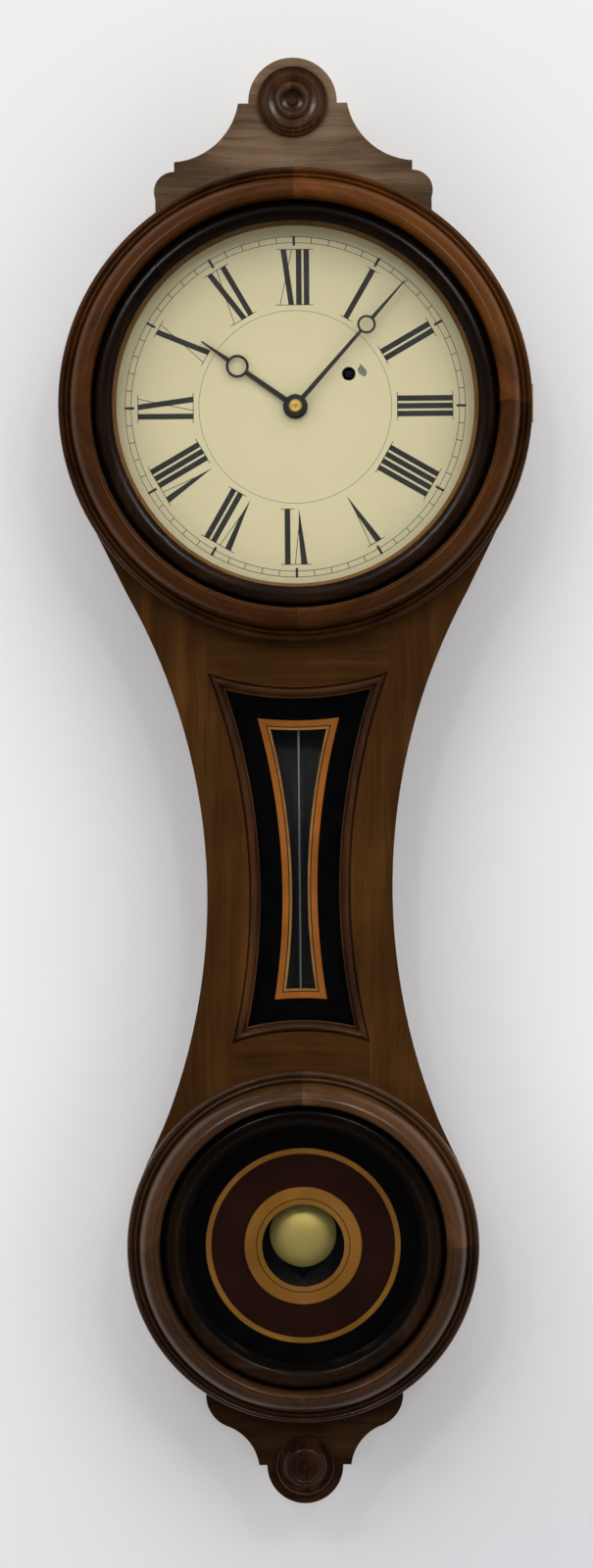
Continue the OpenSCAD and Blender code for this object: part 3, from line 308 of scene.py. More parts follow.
def smooth_turned(name, body, sharpest=50):
    """A turned or run piece with its facets smoothed; edges sharper than some degrees stay crisp."""
    mesh = nodes[name].data.copy()
    mesh.name = name + "_turned"
    work = bmesh.new()
    work.from_mesh(mesh)
    bmesh.ops.remove_doubles(work, verts=work.verts, dist=0.001 * MM)
    for face in work.faces:
        face.smooth = True
    for edge in work.edges:
        edge.smooth = edge.is_manifold and edge.calc_face_angle(0.0) < math.radians(sharpest)
    work.to_mesh(mesh)
    work.free()
    if "custom_normal" in mesh.attributes:
        mesh.attributes.remove(mesh.attributes["custom_normal"])
    mesh.materials.clear()
    made = add_piece(name + "_turned", mesh, body)
    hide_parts(name)
    return made


rosettes = smooth_turned("rosettes", "case", 42)
rosettes.data.materials.append(walnut("rosette_walnut", upright, rosette_shades, 0.6, lower_rosette_tone))


# Throat moulding. Four narrow strips of dark walnut, cut to a quirk, a round and a lip, mitred at the
# corners and glued into the opening in front of the painted glass. The grain runs along each strip.
moulding_shades = (tint(28, 13, 4), tint(52, 28, 11), tint(80, 48, 22))
THROAT_TOP_R = 168.5
THROAT_LOW_R = 127.7
THROAT_SIDE_R = 375.32
THROAT_SIDE = Vector((405.32, -290.93))


def length(first, second):
    """How far a point lies from zero, from its two distances."""
    flat = spot(first, 0.0, second)
    return flat.node("VectorMath", {"operation": "LENGTH"}, {0: flat}, output="Value")


def from_point(x, z, point):
    """Distance in the plane of the front from a point about the dial's centre, in mm."""
    return length(x - point[0], z - (DIAL_Z + point[1]))


def strip_lay(place):
    """Level grain in the top and bottom strips and upright in the side ones, met at the mitres."""
    x, y, z = place.outputs("SeparateXYZ", "X", "Y", "Z")
    from_side = from_point(abs(x), z, THROAT_SIDE) - THROAT_SIDE_R
    from_top = from_point(x, z, (0.0, 0.0)) - THROAT_TOP_R
    from_low = from_point(x, z, (0.0, LOW_Z - DIAL_Z)) - THROAT_LOW_R
    nearest_end = from_top.math("MINIMUM", from_top, from_low)
    end = from_side > nearest_end
    board = end * 2.0 + (x > 0.0) * (1 - end) + (from_low > from_top) * end
    return z * end + x * (1 - end), x * end + z * (1 - end), y, board


throat_moulding = smooth_turned("throat_moulding", "case", 45)
throat_moulding.data.materials.append(walnut("moulding_walnut", strip_lay, moulding_shades, 0.6))


# Door rings. Each outer ring is four turned segments of walnut; inside it a darker, nearly black ring
# holds the glass. The upper door's inner lip is painted tan, for pale worn wood and for the light that
# the dial casts on it; the lower one's lip is painted black as shade. The rings carry painted light and
# shade
# too: lighter upper segments, darker lower ones, darkened beads, black grooves, and inner rings painted
# darker on their upper halves.
upper_shades = (tint(26, 12, 2), tint(66, 35, 8), tint(106, 60, 18))
lower_shades = (tint(24, 13, 5), tint(58, 35, 16), tint(94, 62, 34))
black_shades = (tint(12, 7, 3), tint(29, 17, 9), tint(50, 32, 17))
brown_shades = (tint(13, 7, 3), tint(31, 19, 10), tint(52, 34, 19))
# Pale worn wood with painted light on it, for the upper door's inner lip.
bevel_tan_and_light = tint(104, 70, 34)
# Painted shade: the near-black laid in the grooves, on the inner rings' upper halves and on the lower
# lip.
painted_shade_black = tint(7, 4, 2)
BEADS_IN = (7.6, 6.4)
FOOT_IN = (8.5, 6.8)
GROOVE_IN = (19.75, 19.65)


def band(wire, low, high, soft):
    """1 between low and high and 0 outside, with soft edges."""
    return between(wire, low - soft, low + soft) * (1 - between(wire, high - soft, high + soft))


def painted_ring_light(centre_z):
    """Painted light: the two upper segments are painted lighter and the two lower ones darker, as the
    light from above falls on them, and the upper right one lighter still, a painted sheen where the
    lamps shine on it.
    """

    def tone(place):
        x, z = place.outputs("SeparateXYZ", "X", "Z")
        right = x > 0.0
        top = (z - centre_z) > 0.0
        return right * top * 0.09 + top * 0.03 - 0.04

    return tone


def from_centre(place, centre_z):
    """Distance from the axis of a ring, in mm."""
    x, z = place.outputs("SeparateXYZ", "X", "Z")
    return from_point(x, z, (0.0, centre_z - DIAL_Z))


def recolour(material, colour, share):
    """Lays another colour over a finish that is already made."""
    shader = material.node_tree.nodes["Principled BSDF"]
    under = Wire(material.node_tree, shader.inputs["Base Color"].links[0].from_socket)
    blend(under, colour, share).feed(shader, "Base Color")


def bezel_walnut(name, centre_z, radius, shades, gloss):
    """Golden on the broad roll, with painted shade: darker on the beads and at the roll's foot, and
    black in the groove beside the inner ring; the segments carry painted light too.
    """
    segments = painted_ring_light(centre_z)

    def tone_and_light(place):
        r = from_centre(place, centre_z)
        # Painted shade on the beads and in the crease at the roll's foot.
        bead_shade = between(r, radius - BEADS_IN[0], radius - BEADS_IN[1])
        foot = band(r, radius - FOOT_IN[0], radius - FOOT_IN[1], 0.6)
        return segments(place) - bead_shade * 0.08 - foot * 0.08

    material = walnut(name, ring_lay(centre_z), shades, gloss, tone_and_light, 0.5)
    r = from_centre(place_of(material), centre_z)
    # Painted shade: the groove beside the inner ring is painted black.
    groove_shade = 1 - between(r, radius - GROOVE_IN[0], radius - GROOVE_IN[1])
    recolour(material, painted_shade_black, groove_shade)
    return material


def glazing_stain_and_shade(name, centre_z, radius, shades, lip_colour, lip_radius):
    """The inner ring, dark with stain and painted darker on its upper half as shade, with a lip of its
    own colour that is painted darker on its upper half too.
    """
    material = walnut(name, ring_lay(centre_z, True), shades, 0.3)
    place = place_of(material)
    (z,) = place.outputs("SeparateXYZ", "Z")
    up = (z - centre_z) / radius
    # Painted shade: the ring's upper half is painted towards black.
    recolour(material, painted_shade_black, between(up, -0.7, 0.7) * 0.75)
    # Painted shade on the lip: its own colour fades out on its upper half.
    lip = 1 - between(from_centre(place, centre_z), lip_radius - 0.4, lip_radius + 0.3)
    recolour(material, lip_colour, lip * (1 - between(up, -0.4, 1.0) * 0.6))
    return material


UPPER_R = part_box("upper_bezel")[1].x / MM
LOWER_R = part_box("lower_bezel")[1].x / MM
# The upper lip's tan is pale wood with painted light; the lower lip's black is painted shade.
DOORS = (("upper", DIAL_Z, UPPER_R, upper_shades, 0.35, black_shades, bevel_tan_and_light, 32.4),
         ("lower", LOW_Z, LOWER_R, lower_shades, 0.7, brown_shades, painted_shade_black, 30.0))
for door, centre_z, radius, outer, gloss, inner, lip_colour, lip_in in DOORS:
    ring = smooth_turned(door + "_bezel", door + "_door")
    ring.data.materials.append(bezel_walnut(door + "_bezel_walnut", centre_z, radius, outer, gloss))
    glazing = smooth_turned(door + "_glazing_ring", door + "_door")
    stain = glazing_stain_and_shade(door + "_glazing_stain", centre_z, radius, inner, lip_colour, radius - lip_in)
    glazing.data.materials.append(stain)


# Putty. A bead of brown glazier's putty holds each glass from behind.
def putty():
    material, shader, place = new_finish("glazing_putty", Roughness=0.85)
    lumps = cloud(place, 1.6)
    blend(tint(92, 70, 44), tint(134, 106, 72), lumps).feed(shader, "Base Color")
    relief(lumps, 0.5, 0.3).feed(shader, "Normal")
    return material


brown_putty = putty()
wrap("upper_glass_bead", brown_putty)
wrap("lower_glass_bead", brown_putty)


# Glass. Old window glass, faintly green. It lets the light of the lamps and the room straight through
# to what is behind it, and it is very slightly wavy, so its reflections are too.
def let_through(material, shader, share, colour=(1, 1, 1, 1)):
    """Makes a finish transparent in a share that is a wire."""
    open_way = share.node("BsdfTransparent", {}, {"Color": colour})
    solid = Wire(share.tree, shader.outputs[0])
    both = share.node("MixShader", {}, {0: share, 1: solid, 2: open_way})
    both.feed(material.node_tree.nodes["Material Output"], "Surface")


def clear_glass():
    material, shader, place = new_finish("window_glass", Roughness=0.02, Transmission_Weight=1.0,
                                         IOR=1.45, Base_Color=(0.96, 0.98, 0.97, 1))
    relief(cloud(place, 30.0, 1.0), 0.2, 0.2).feed(shader, "Normal")
    lamp_ray = place.node("LightPath", output="Is Shadow Ray")
    room_ray = place.node("LightPath", output="Is Diffuse Ray")
    let_through(material, shader, place.math("MAXIMUM", lamp_ray, room_ray), (0.95, 0.97, 0.96, 1))
    return material


window_glass = clear_glass()
for pane in ("upper_glass", "throat_tablet", "lower_tablet"):
    wrap(pane, window_glass)


# Throat tablet's paint. Japan black on the back of the glass, with a gold-orange band round a clear
# slot for the pendulum rod; inside the band run a dark line and a thin gold one.
LOW_CENTRE = Vector((0.0, LOW_Z - DIAL_Z))


def crossing(a, ra, b, rb, lower):
    """The lower right or the upper right point where two circles cross, about the dial's centre."""
    apart = (b - a).length
    along = (apart * apart + ra * ra - rb * rb) / (2 * apart)
    off = math.sqrt(ra * ra - along * along)
    u = (b - a) / apart
    side = Vector((u.y, -u.x)) if lower else Vector((-u.y, u.x))
    return a + along * u + off * side


def arc(centre, radius, start, end, count):
    """Points along the short way round a circle, from one point on it to another."""
    first = math.atan2(start.y - centre.y, start.x - centre.x)
    sweep = math.atan2(end.y - centre.y, end.x - centre.x) - first
    sweep = (sweep + math.pi) % (2 * math.pi) - math.pi
    turns = [first + sweep * i / count for i in range(count)]
    return [centre + radius * Vector((math.cos(a), math.sin(a))) for a in turns]


def throat_loop(inset):
    """The throat's outline drawn in from its edge, clockwise from its top left corner."""
    origin = Vector((0.0, 0.0))
    top_r, side_r, low_r = (r + inset for r in (THROAT_TOP_R, THROAT_SIDE_R, THROAT_LOW_R))
    top = crossing(origin, top_r, THROAT_SIDE, side_r, True)
    low = crossing(LOW_CENTRE, low_r, THROAT_SIDE, side_r, False)
    left = Vector((-THROAT_SIDE.x, THROAT_SIDE.y))
    return (arc(origin, top_r, Vector((-top.x, top.y)), top, 24)
            + arc(THROAT_SIDE, side_r, top, low, 48)
            + arc(LOW_CENTRE, low_r, low, Vector((-low.x, low.y)), 24)
            + arc(left, side_r, Vector((-low.x, low.y)), Vector((-top.x, top.y)), 48))


def circle_loop(radius, centre=Vector((0.0, 0.0)), count=128):
    turns = [2 * math.pi * i / count for i in range(count)]
    return [centre + radius * Vector((math.cos(a), math.sin(a))) for a in turns]


def drawn_piece(name, drawn, body, material):
    """Closes a drawing, and puts it in the scene as a piece with one finish."""
    bmesh.ops.recalc_face_normals(drawn, faces=drawn.faces)
    mesh = bpy.data.meshes.new(name)
    drawn.to_mesh(mesh)
    drawn.free()
    mesh.materials.append(material)
    return add_piece(name, mesh, body)


FILM_THICK = 0.03


def film(name, groups, depth, body, material):
    """A flat film at a depth from the wall. Each group is an outline about the dial, then its holes."""
    drawn = bmesh.new()
    for loops in groups:
        edges = []
        for loop in loops:
            corners = [drawn.verts.new((p.x * MM, -depth * MM, (p.y + DIAL_Z) * MM)) for p in loop]
            edges += [drawn.edges.new((corners[i - 1], corners[i])) for i in range(len(corners))]
        bmesh.ops.triangle_fill(drawn, use_beauty=True, use_dissolve=False, edges=edges,
                                normal=Vector((0, -1, 0)))
    bmesh.ops.recalc_face_normals(drawn, faces=drawn.faces)
    for face in drawn.faces:
        if face.normal.y > 0:
            face.normal_flip()
    lifted = bmesh.ops.extrude_face_region(drawn, geom=list(drawn.faces))
    moved = [v for v in lifted["geom"] if isinstance(v, bmesh.types.BMVert)]
    bmesh.ops.translate(drawn, verts=moved, vec=(0, -FILM_THICK * MM, 0))
    return drawn_piece(name, drawn, body, material)


FILM_GAP = 0.04


def paint_rings(rings, last, loop, back, body):
    """Rings of paint on the back of a glass, each from its own outline in to the next one's."""
    ends = [start for name, start, paint in rings[1:]] + [last]
    for (name, start, paint), end in zip(rings, ends):
        film(name, [[loop(start), loop(end)]], back - FILM_GAP, body, paint)


def tablet_paint(name, dark, pale, mottle=12.0, rough=0.35):
    """Brushed paint on the back of glass: flat, with slight clouds of thinner and thicker paint."""
    material, shader, place = new_finish(name, Roughness=rough, Specular_IOR_Level=0.0)
    clouds = cloud(place, mottle)
    blend(dark, pale, between(clouds, 0.3, 0.7)).feed(shader, "Base Color")
    (rough + clouds * 0.15).feed(shader, "Roughness")
    return material


japan_black = tablet_paint("japan_black", tint(3, 3, 3), tint(8, 7, 7))
band_gold = tablet_paint("band_gold", tint(132, 75, 29), tint(158, 93, 40), 40.0)
line_gold = tablet_paint("line_gold", tint(128, 88, 48), tint(152, 108, 62))
ring_gold = tablet_paint("ring_gold", tint(112, 74, 30), tint(136, 92, 40), 40.0)
maroon = tablet_paint("maroon", tint(30, 14, 10), tint(39, 19, 14), 40.0)

throat_back = -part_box("throat_tablet")[1].y / MM
SLOT_IN = 25.3
throat_paint = [("throat_black", 1.0, japan_black), ("throat_band", 19.6, band_gold),
                ("throat_dark_line", 23.3, maroon), ("throat_gold_line", 23.9, line_gold)]
paint_rings(throat_paint, SLOT_IN, throat_loop, throat_back, "case")


# Lower tablet's paint. Rings from the outside in: black, a gold ring, maroon, and a broad gold ring
# with a fine dark line in it, round the clear bullseye that shows the bob.
tablet_back = -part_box("lower_tablet")[1].y / MM
tablet_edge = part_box("lower_tablet")[1].x / MM - 0.3
BULLSEYE_R = 24.6


def tablet_loop(radius):
    return circle_loop(radius, LOW_CENTRE)


tablet_rings = [("tablet_black", tablet_edge, japan_black), ("tablet_gold_ring", 58.1, ring_gold),
                ("tablet_maroon", 54.9, maroon), ("tablet_gold", 35.0, ring_gold),
                ("tablet_fine_line", 28.1, maroon), ("tablet_inner_gold", 27.6, ring_gold)]
paint_rings(tablet_rings, BULLSEYE_R, tablet_loop, tablet_back, "lower_door")


# Dial. A sheet of zinc with cream enamel paint, gone yellow and a little cloudy, held by four screws;
# beside the winding hole a key has knocked the paint off down to grey metal.
CHIP = Vector((40.4, 21.2))
CHIP_R = 4.8


def dial_enamel():
    material, shader, place = new_finish("dial_enamel", Roughness=0.45, Coat_Weight=0.15,
                                         Coat_Roughness=0.3)
    x, z = place.outputs("SeparateXYZ", "X", "Z")
    r = from_centre(place, DIAL_Z)
    clouds = cloud(place, 34.0, 4.0)
    stains = between(cloud(place, 11.0, 5.0, 0.65), 0.62, 0.78)
    specks = between(cloud(place, 1.1, 2.0), 0.745, 0.76) * between(cloud(place, 26.0), 0.5, 0.6)
    colour = blend(tint(228, 212, 171), tint(219, 204, 164), clouds)
    colour = blend(colour, tint(196, 186, 142), stains * 0.35)
    colour = blend(colour, tint(186, 180, 142), between(r, 99.0, 113.0) * 0.5)
    grime = between(r, 109.0, 114.0) * between(cloud(place, 14.0), 0.3, 0.6)
    colour = blend(colour, tint(120, 108, 74), grime * 0.6)
    colour = blend(colour, tint(96, 84, 62), specks)
    ragged = cloud(place, 2.6, 2.0) * 3.4
    chip_x = (x - CHIP.x) * 1.3 + (z - DIAL_Z - CHIP.y) * 0.65
    chip_z = (z - DIAL_Z - CHIP.y) * 0.8 - (x - CHIP.x) * 0.5
    chip = 1 - between(length(chip_x, chip_z * 0.9) + ragged, CHIP_R, CHIP_R + 0.2)
    colour = blend(colour, tint(118, 118, 112), chip)
    colour.feed(shader, "Base Color")
    (0.42 + clouds * 0.12 + chip * 0.1).feed(shader, "Roughness")
    relief(clouds * 0.3 - chip, 0.3, 0.15).feed(shader, "Normal")
    return material


wrap("dial", dial_enamel())


# Dial's printing. Black numerals, radial, with broad strokes and hairlines closed by fine serifs; a
# minute track of two fine circles with heavier marks at the hours; a grey circle inside the numerals.
HEAD = 94.4
FOOT = 61.2
STROKE = 3.35
HAIR = 0.42
SERIF = 2.3
LETTER_GAP = 1.25
NUMERALS = ["XII", "I", "II", "III", "IIII", "V", "VI", "VII", "VIII", "IX", "X", "XI"]


def bar_points(x0, z0, x1, z1, width):
    """A stroke with square ends level with the numeral's foot and head."""
    half = width / 2
    corners = ((x0 - half, z0), (x0 + half, z0), (x1 + half, z1), (x1 - half, z1))
    return [Vector(corner) for corner in corners]


# Each letter's width, the outlines of its strokes, and where its head and its foot have serifs, from its
# left edge.
I_WIDE, X_WIDE, V_WIDE = STROKE, 8.9, 9.5
V_TIP = Vector((5.4, FOOT))
V_JOIN = Vector((5.9, FOOT + 12.5))
LETTERS = {
    "I": (I_WIDE,
          [bar_points(STROKE / 2, FOOT, STROKE / 2, HEAD, STROKE)],
          [(0.0, I_WIDE)],
          [(0.0, I_WIDE)]),
    "X": (X_WIDE,
          [bar_points(X_WIDE - STROKE / 2, FOOT, STROKE / 2 + 1.0, HEAD, STROKE),
           bar_points(0.5, FOOT, X_WIDE - 1.2, HEAD, HAIR)],
          [(1.0, 4.0), (X_WIDE - 1.4, X_WIDE - 1.0)],
          [(X_WIDE - STROKE, X_WIDE), (0.3, 0.7)]),
    "V": (V_WIDE,
          [[V_TIP, V_JOIN, Vector((STROKE + 1.0, HEAD)), Vector((0.5, HEAD))],
           bar_points(V_JOIN.x - 0.1, V_JOIN.y, V_WIDE - 1.6, HEAD, HAIR)],
          [(0.6, 3.6), (V_WIDE - 1.8, V_WIDE - 1.4)],
          []),
}


def serifs(spans, at_z):
    """Hairlines across the ends of strokes, in one piece where they would meet."""
    joined = []
    for low, high in sorted(spans):
        if joined and low - joined[-1][1] < 2 * SERIF - 0.6:
            joined[-1][1] = max(high, joined[-1][1])
        else:
            joined.append([low, high])
    return [bar_points((low + high) / 2, at_z - HAIR / 2, (low + high) / 2, at_z + HAIR / 2,
                       high - low + 2 * SERIF) for low, high in joined]


def numeral_strokes(numeral):
    """Outlines of one numeral, upright, with X to its right and Y from its foot to its head."""
    left = -(sum(LETTERS[letter][0] for letter in numeral) + LETTER_GAP * (len(numeral) - 1)) / 2
    strokes = []
    heads = []
    feet = []
    for letter in numeral:
        wide, outlines, letter_heads, letter_feet = LETTERS[letter]
        strokes += [[Vector((left + p.x, p.y)) for p in outline] for outline in outlines]
        heads += [(left + low, left + high) for low, high in letter_heads]
        feet += [(left + low, left + high) for low, high in letter_feet]
        left += wide + LETTER_GAP
    return strokes + serifs(heads, HEAD) + serifs(feet, FOOT)


def turned_by(points, degrees):
    """Points turned clockwise about the dial's centre."""
    a = math.radians(degrees)
    c, s = math.cos(a), math.sin(a)
    return [Vector((p.x * c + p.y * s, p.y * c - p.x * s)) for p in points]


def printing_ink(name, dark, pale):
    material, shader, place = new_finish(name, Roughness=0.5)
    blend(dark, pale, between(cloud(place, 2.2), 0.45, 0.75)).feed(shader, "Base Color")
    return material


print_black = printing_ink("print_black", tint(14, 12, 10), tint(34, 30, 26))
print_grey = printing_ink("print_grey", tint(112, 104, 78), tint(140, 132, 102))
dial_face = -dial_box[0].y / MM
PRINT_GAP = 0.01
MARK_GAP = 0.04
TRACK_CIRCLES = ((102.2, 101.85), (98.65, 98.3))
INNER_CIRCLE = (57.95, 57.65)
HOUR_MARK = (96.6, 102.4, 1.5)
MINUTE_MARK = (98.6, 101.9, 0.42)


def printed(name, groups, gap, ink):
    film(name, groups, dial_face + gap, "case", ink)


for hour, numeral in enumerate(NUMERALS):
    strokes = [[turned_by(outline, 30 * hour)] for outline in numeral_strokes(numeral)]
    printed("numeral_%d" % (hour or 12), strokes, PRINT_GAP, print_black)

track = [[circle_loop(outer), circle_loop(inner)] for outer, inner in TRACK_CIRCLES]
printed("minute_circles", track, PRINT_GAP, print_black)
marks = []
for minute in range(60):
    low, high, width = MINUTE_MARK if minute % 5 else HOUR_MARK
    marks.append([turned_by(bar_points(0, low, 0, high, width), 6 * minute)])
printed("minute_marks", marks, MARK_GAP, print_black)
printed("inner_circle", [[circle_loop(radius) for radius in INNER_CIRCLE]], PRINT_GAP, print_grey)


# Hands. Sawn from thin steel and painted black, with a slightly soft gloss and a few rubbed edges.
def hand_black():
    material, shader, place = new_finish("hand_black", Roughness=0.34, Coat_Weight=0.3,
                                         Coat_Roughness=0.2)
    rubbed = between(cloud(place, 5.0), 0.4, 0.75)
    blend(tint(16, 14, 13), tint(34, 30, 28), rubbed).feed(shader, "Base Color")
    return material


black_paint = hand_black()
wrap("minute_hand", black_paint)
wrap("hour_hand", black_paint)


# Brass. The plates are rolled sheet with a straight grain, the wheels and the bob are turned, and all
# of it has dulled under old lacquer, darker where fingers and oil have been.
def brass_metal(name, centre=None, bright=1.0):
    """Straight-grained brass, or brass turned about a centre that is given in mm from the dial's."""
    material, shader, place = new_finish(name, Metallic=1.0, Roughness=0.3)
    if centre is None:
        lines = cloud(place, (0.25, 0.25, 30.0), 2.0)
    else:
        x, y, z = place.outputs("SeparateXYZ", "X", "Y", "Z")
        lines = cloud(spot(from_point(x, z, centre), y * 0.2, 0.0), (0.4, 4.0, 4.0), 2.0)
    dull = cloud(place, 14.0, 4.0)
    clean, dulled = [tint(*(bright * c for c in shade)) for shade in ((206, 176, 104), (168, 134, 70))]
    colour = blend(clean, dulled, dull)
    colour = blend(colour, tint(104, 78, 40), between(cloud(place, 4.0, 4.0), 0.64, 0.8) * 0.5)
    colour.feed(shader, "Base Color")
    (0.24 + dull * 0.14 + lines * 0.12).feed(shader, "Roughness")
    relief(lines, 0.2, 0.05).feed(shader, "Normal")
    return material


plate_brass = brass_metal("plate_brass")
for name in ("back_plate", "front_plate", "pillars", "suspension_cock", "crutch", "case_hinge_leaves",
             "hinge_pins", "brass_wood_screws", "upper_hinge_leaf", "upper_door_screws",
             "lower_hinge_leaf", "lower_door_screws"):
    wrap(name, plate_brass)


def middle(name):
    """The middle of a turned node's box, in mm from the dial's centre."""
    low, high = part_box(name)
    return Vector(((low.x + high.x) / 2 / MM, (low.z + high.z) / 2 / MM - DIAL_Z))


for name in ("centre_wheel", "cannon_pinion", "minute_wheel", "hour_wheel", "great_wheel", "cable_drum",
             "third_wheel", "escape_wheel", "pulley"):
    wrap(name, brass_metal(name + "_brass", middle(name)))
wrap("hand_nut", brass_metal("hand_nut_brass", middle("hand_nut"), 1.2))


# Pendulum bob. A turned brass disc, lacquered and gone pale yellow, with fine rings from the lathe.
def bob_brass():
    material, shader, place = new_finish("bob_brass", Metallic=0.75, Roughness=0.42, Coat_Weight=0.2)
    x, z = place.outputs("SeparateXYZ", "X", "Z")
    rings = cloud(spot(from_point(x, z, middle("bob")), 0.0, 0.0), (0.5, 4.0, 4.0), 2.0)
    dull = cloud(place, 10.0, 4.0)
    blend(tint(228, 206, 124), tint(204, 180, 98), dull).feed(shader, "Base Color")
    (0.36 + rings * 0.12).feed(shader, "Roughness")
    relief(rings, 0.15, 0.05).feed(shader, "Normal")
    return material


bob = smooth_turned("bob", "pendulum", 60)
bob.data.materials.append(bob_brass())


# Steel. The pallets, the springs, the rod and the hanger plate are drawn or filed bright, and a little
# brown with age; the screws and the rating nut are blued nearly black, and the winding square takes the
# same near-black as painted shade in its winding hole.
def bright_steel():
    material, shader, place = new_finish("bright_steel", Metallic=1.0, Roughness=0.3)
    lines = cloud(place, (0.3, 0.3, 12.0), 2.0)
    age = between(cloud(place, 8.0, 4.0), 0.5, 0.8)
    blend(tint(178, 178, 176), tint(128, 118, 104), age * 0.7).feed(shader, "Base Color")
    (0.26 + lines * 0.12 + age * 0.15).feed(shader, "Roughness")
    return material


def blued_steel():
    material, shader, place = new_finish("blued_steel", Metallic=0.9, Roughness=0.4)
    heat = cloud(place, 3.0)
    blend(tint(14, 17, 28), tint(26, 23, 27), heat).feed(shader, "Base Color")
    return material


def rod_steel():
    """The rod is bright down to the bob, and its threaded end below the bob is painted nearly black, as
    the shade it hangs in there.
    """
    material = bright_steel()
    (z,) = place_of(material).outputs("SeparateXYZ", "Z")
    recolour(material, tint(16, 17, 18), 1 - between(z, LOW_Z - 1, LOW_Z + 1))
    return material


steel = bright_steel()
for name in ("hanger_plate", "suspension_spring", "pallet_arbor", "pallet_anchor", "click_spring",
             "click"):
    wrap(name, steel)
wrap("pendulum_rod", rod_steel())
blued_and_shade = blued_steel()
# The winding square's near-black is painted shade in the winding hole.
for name in ("movement_screws", "rating_nut", "winding_arbor"):
    wrap(name, blued_and_shade)


# Cable. A few strands of steel wire laid up, so that fine slanting lines run round it. Its turn on the
# drum stays, the half turn under the pulley rises with the weight, and the two falls between hang from
# the case.
def cable_steel():
    material, shader, place = new_finish("cable_steel", Metallic=1.0, Roughness=0.35)
    x, y, z = place.outputs("SeparateXYZ", "X", "Y", "Z")
    slant = x * 2.0 + y * 2.0 + z * 1.4
    # Painted shade and light: the colour is darker in the lays between strands and paler on their
    # crowns.
    lay = slant.node("Math", {"operation": "SINE"}, {0: slant * 2.2}) * 0.5 + 0.5
    blend(tint(96, 94, 90), tint(176, 174, 168), lay).feed(shader, "Base Color")
    relief(lay, 0.8, 0.2).feed(shader, "Normal")
    return material


WIRE_SIDES = 12


def wire_run(name, points, radius, away, body, material):
    """Steel wire along points in a plane that faces the front, at a distance from the wall, in mm."""
    drawn = bmesh.new()
    hoops = []
    for i, point in enumerate(points):
        run = (points[min(i + 1, len(points) - 1)] - points[max(i - 1, 0)]).normalized()
        out = Vector((run.y, -run.x))
        hoop = []
        for turn in range(WIRE_SIDES):
            a = 2 * math.pi * turn / WIRE_SIDES
            at = point + out * radius * math.cos(a)
            depth = radius * math.sin(a) - away
            hoop.append(drawn.verts.new((at.x * MM, depth * MM, (at.y + DIAL_Z) * MM)))
        hoops.append(hoop)
    for first, second in zip(hoops, hoops[1:]):
        for i in range(WIRE_SIDES):
            drawn.faces.new((first[i - 1], first[i], second[i], second[i - 1])).smooth = True
    drawn.faces.new(hoops[0])
    drawn.faces.new(hoops[-1])
    return drawn_piece(name, drawn, body, material)


def turn_points(centre, radius, start, sweep):
    """Points round part of a circle, from an angle through a sweep in degrees."""
    steps = max(8, int(abs(sweep) / 8))
    turns = [math.radians(start + sweep * i / steps) for i in range(steps + 1)]
    return [centre + radius * Vector((math.cos(a), math.sin(a))) for a in turns]


POST_Z = -29.0
wire = cable_steel()
cable_low, cable_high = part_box("weight_cable")
cable_r = (cable_high.y - cable_low.y) / 2 / MM
cable_away = -(cable_high.y + cable_low.y) / 2 / MM
pulley_at = middle("pulley")
drum_at = middle("cable_drum")
left_x = cable_low.x / MM + cable_r
right_x = 2 * pulley_at.x - left_x
travel = max(next(j for j in frame["joints"] if j["name"] == "weight_travel")["range_m"]) / MM
half_turn = turn_points(pulley_at, pulley_at.x - left_x, 180, 180)
wire_run("cable_under_pulley", half_turn, cable_r, cable_away, "weight", wire)
whole_turn = turn_points(drum_at, drum_at.x - right_x, 180, -340)
wound = wire_run("cable_on_drum", whole_turn, cable_r, cable_away, "case", wire)
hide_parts("weight_cable")
for fall_name, x, top in (("cable_fall_to_post", left_x, POST_Z),
                          ("cable_fall_to_drum", right_x, drum_at.y)):
    ends = [Vector((x, pulley_at.y)), Vector((x, top))]
    fall = wire_run(fall_name, ends, cable_r, cable_away, "case", wire)
    hung = top - pulley_at.y
    (hung - travel) / hung
    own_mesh(fall)


# Weight. Cast iron with a sandy skin under thin black paint, rubbed at its edges.
def cast_iron():
    material, shader, place = new_finish("cast_iron", Metallic=0.4, Roughness=0.6)
    sand = cloud(place, 1.2, 3.0)
    rust = between(cloud(place, 18.0, 4.0), 0.58, 0.75)
    iron = blend(tint(28, 28, 29), tint(48, 47, 46), sand)
    blend(iron, tint(74, 50, 36), rust * 0.5).feed(shader, "Base Color")
    relief(sand, 0.6, 0.4).feed(shader, "Normal")
    return material


wrap("weight", cast_iron())


# Chute and glue blocks. Bare softwood, gone brown; the weight's cover in front, which shows behind the
# throat's slot and the bullseye, is finished nearly black, so that nothing but the pendulum stands out.
def softwood(name, pale, dark, rough=0.75):
    material, shader, place = new_finish(name, Roughness=rough)
    rings = cloud(place, (3.0, 3.0, 160.0), 3.0, 0.6)
    fibre = cloud(place, (0.5, 0.5, 14.0), 2.0)
    blend(pale, dark, between(rings, 0.35, 0.68)).feed(shader, "Base Color")
    relief(fibre, 0.4, 0.15).feed(shader, "Normal")
    return material


pine = softwood("aged_pine", tint(178, 140, 92), tint(142, 102, 60))
wrap("chute_sides", pine)
wrap("wood_blocks", pine)
wrap("weight_baffle", softwood("near_black_finish", tint(30, 31, 33), tint(20, 21, 23), 0.6))


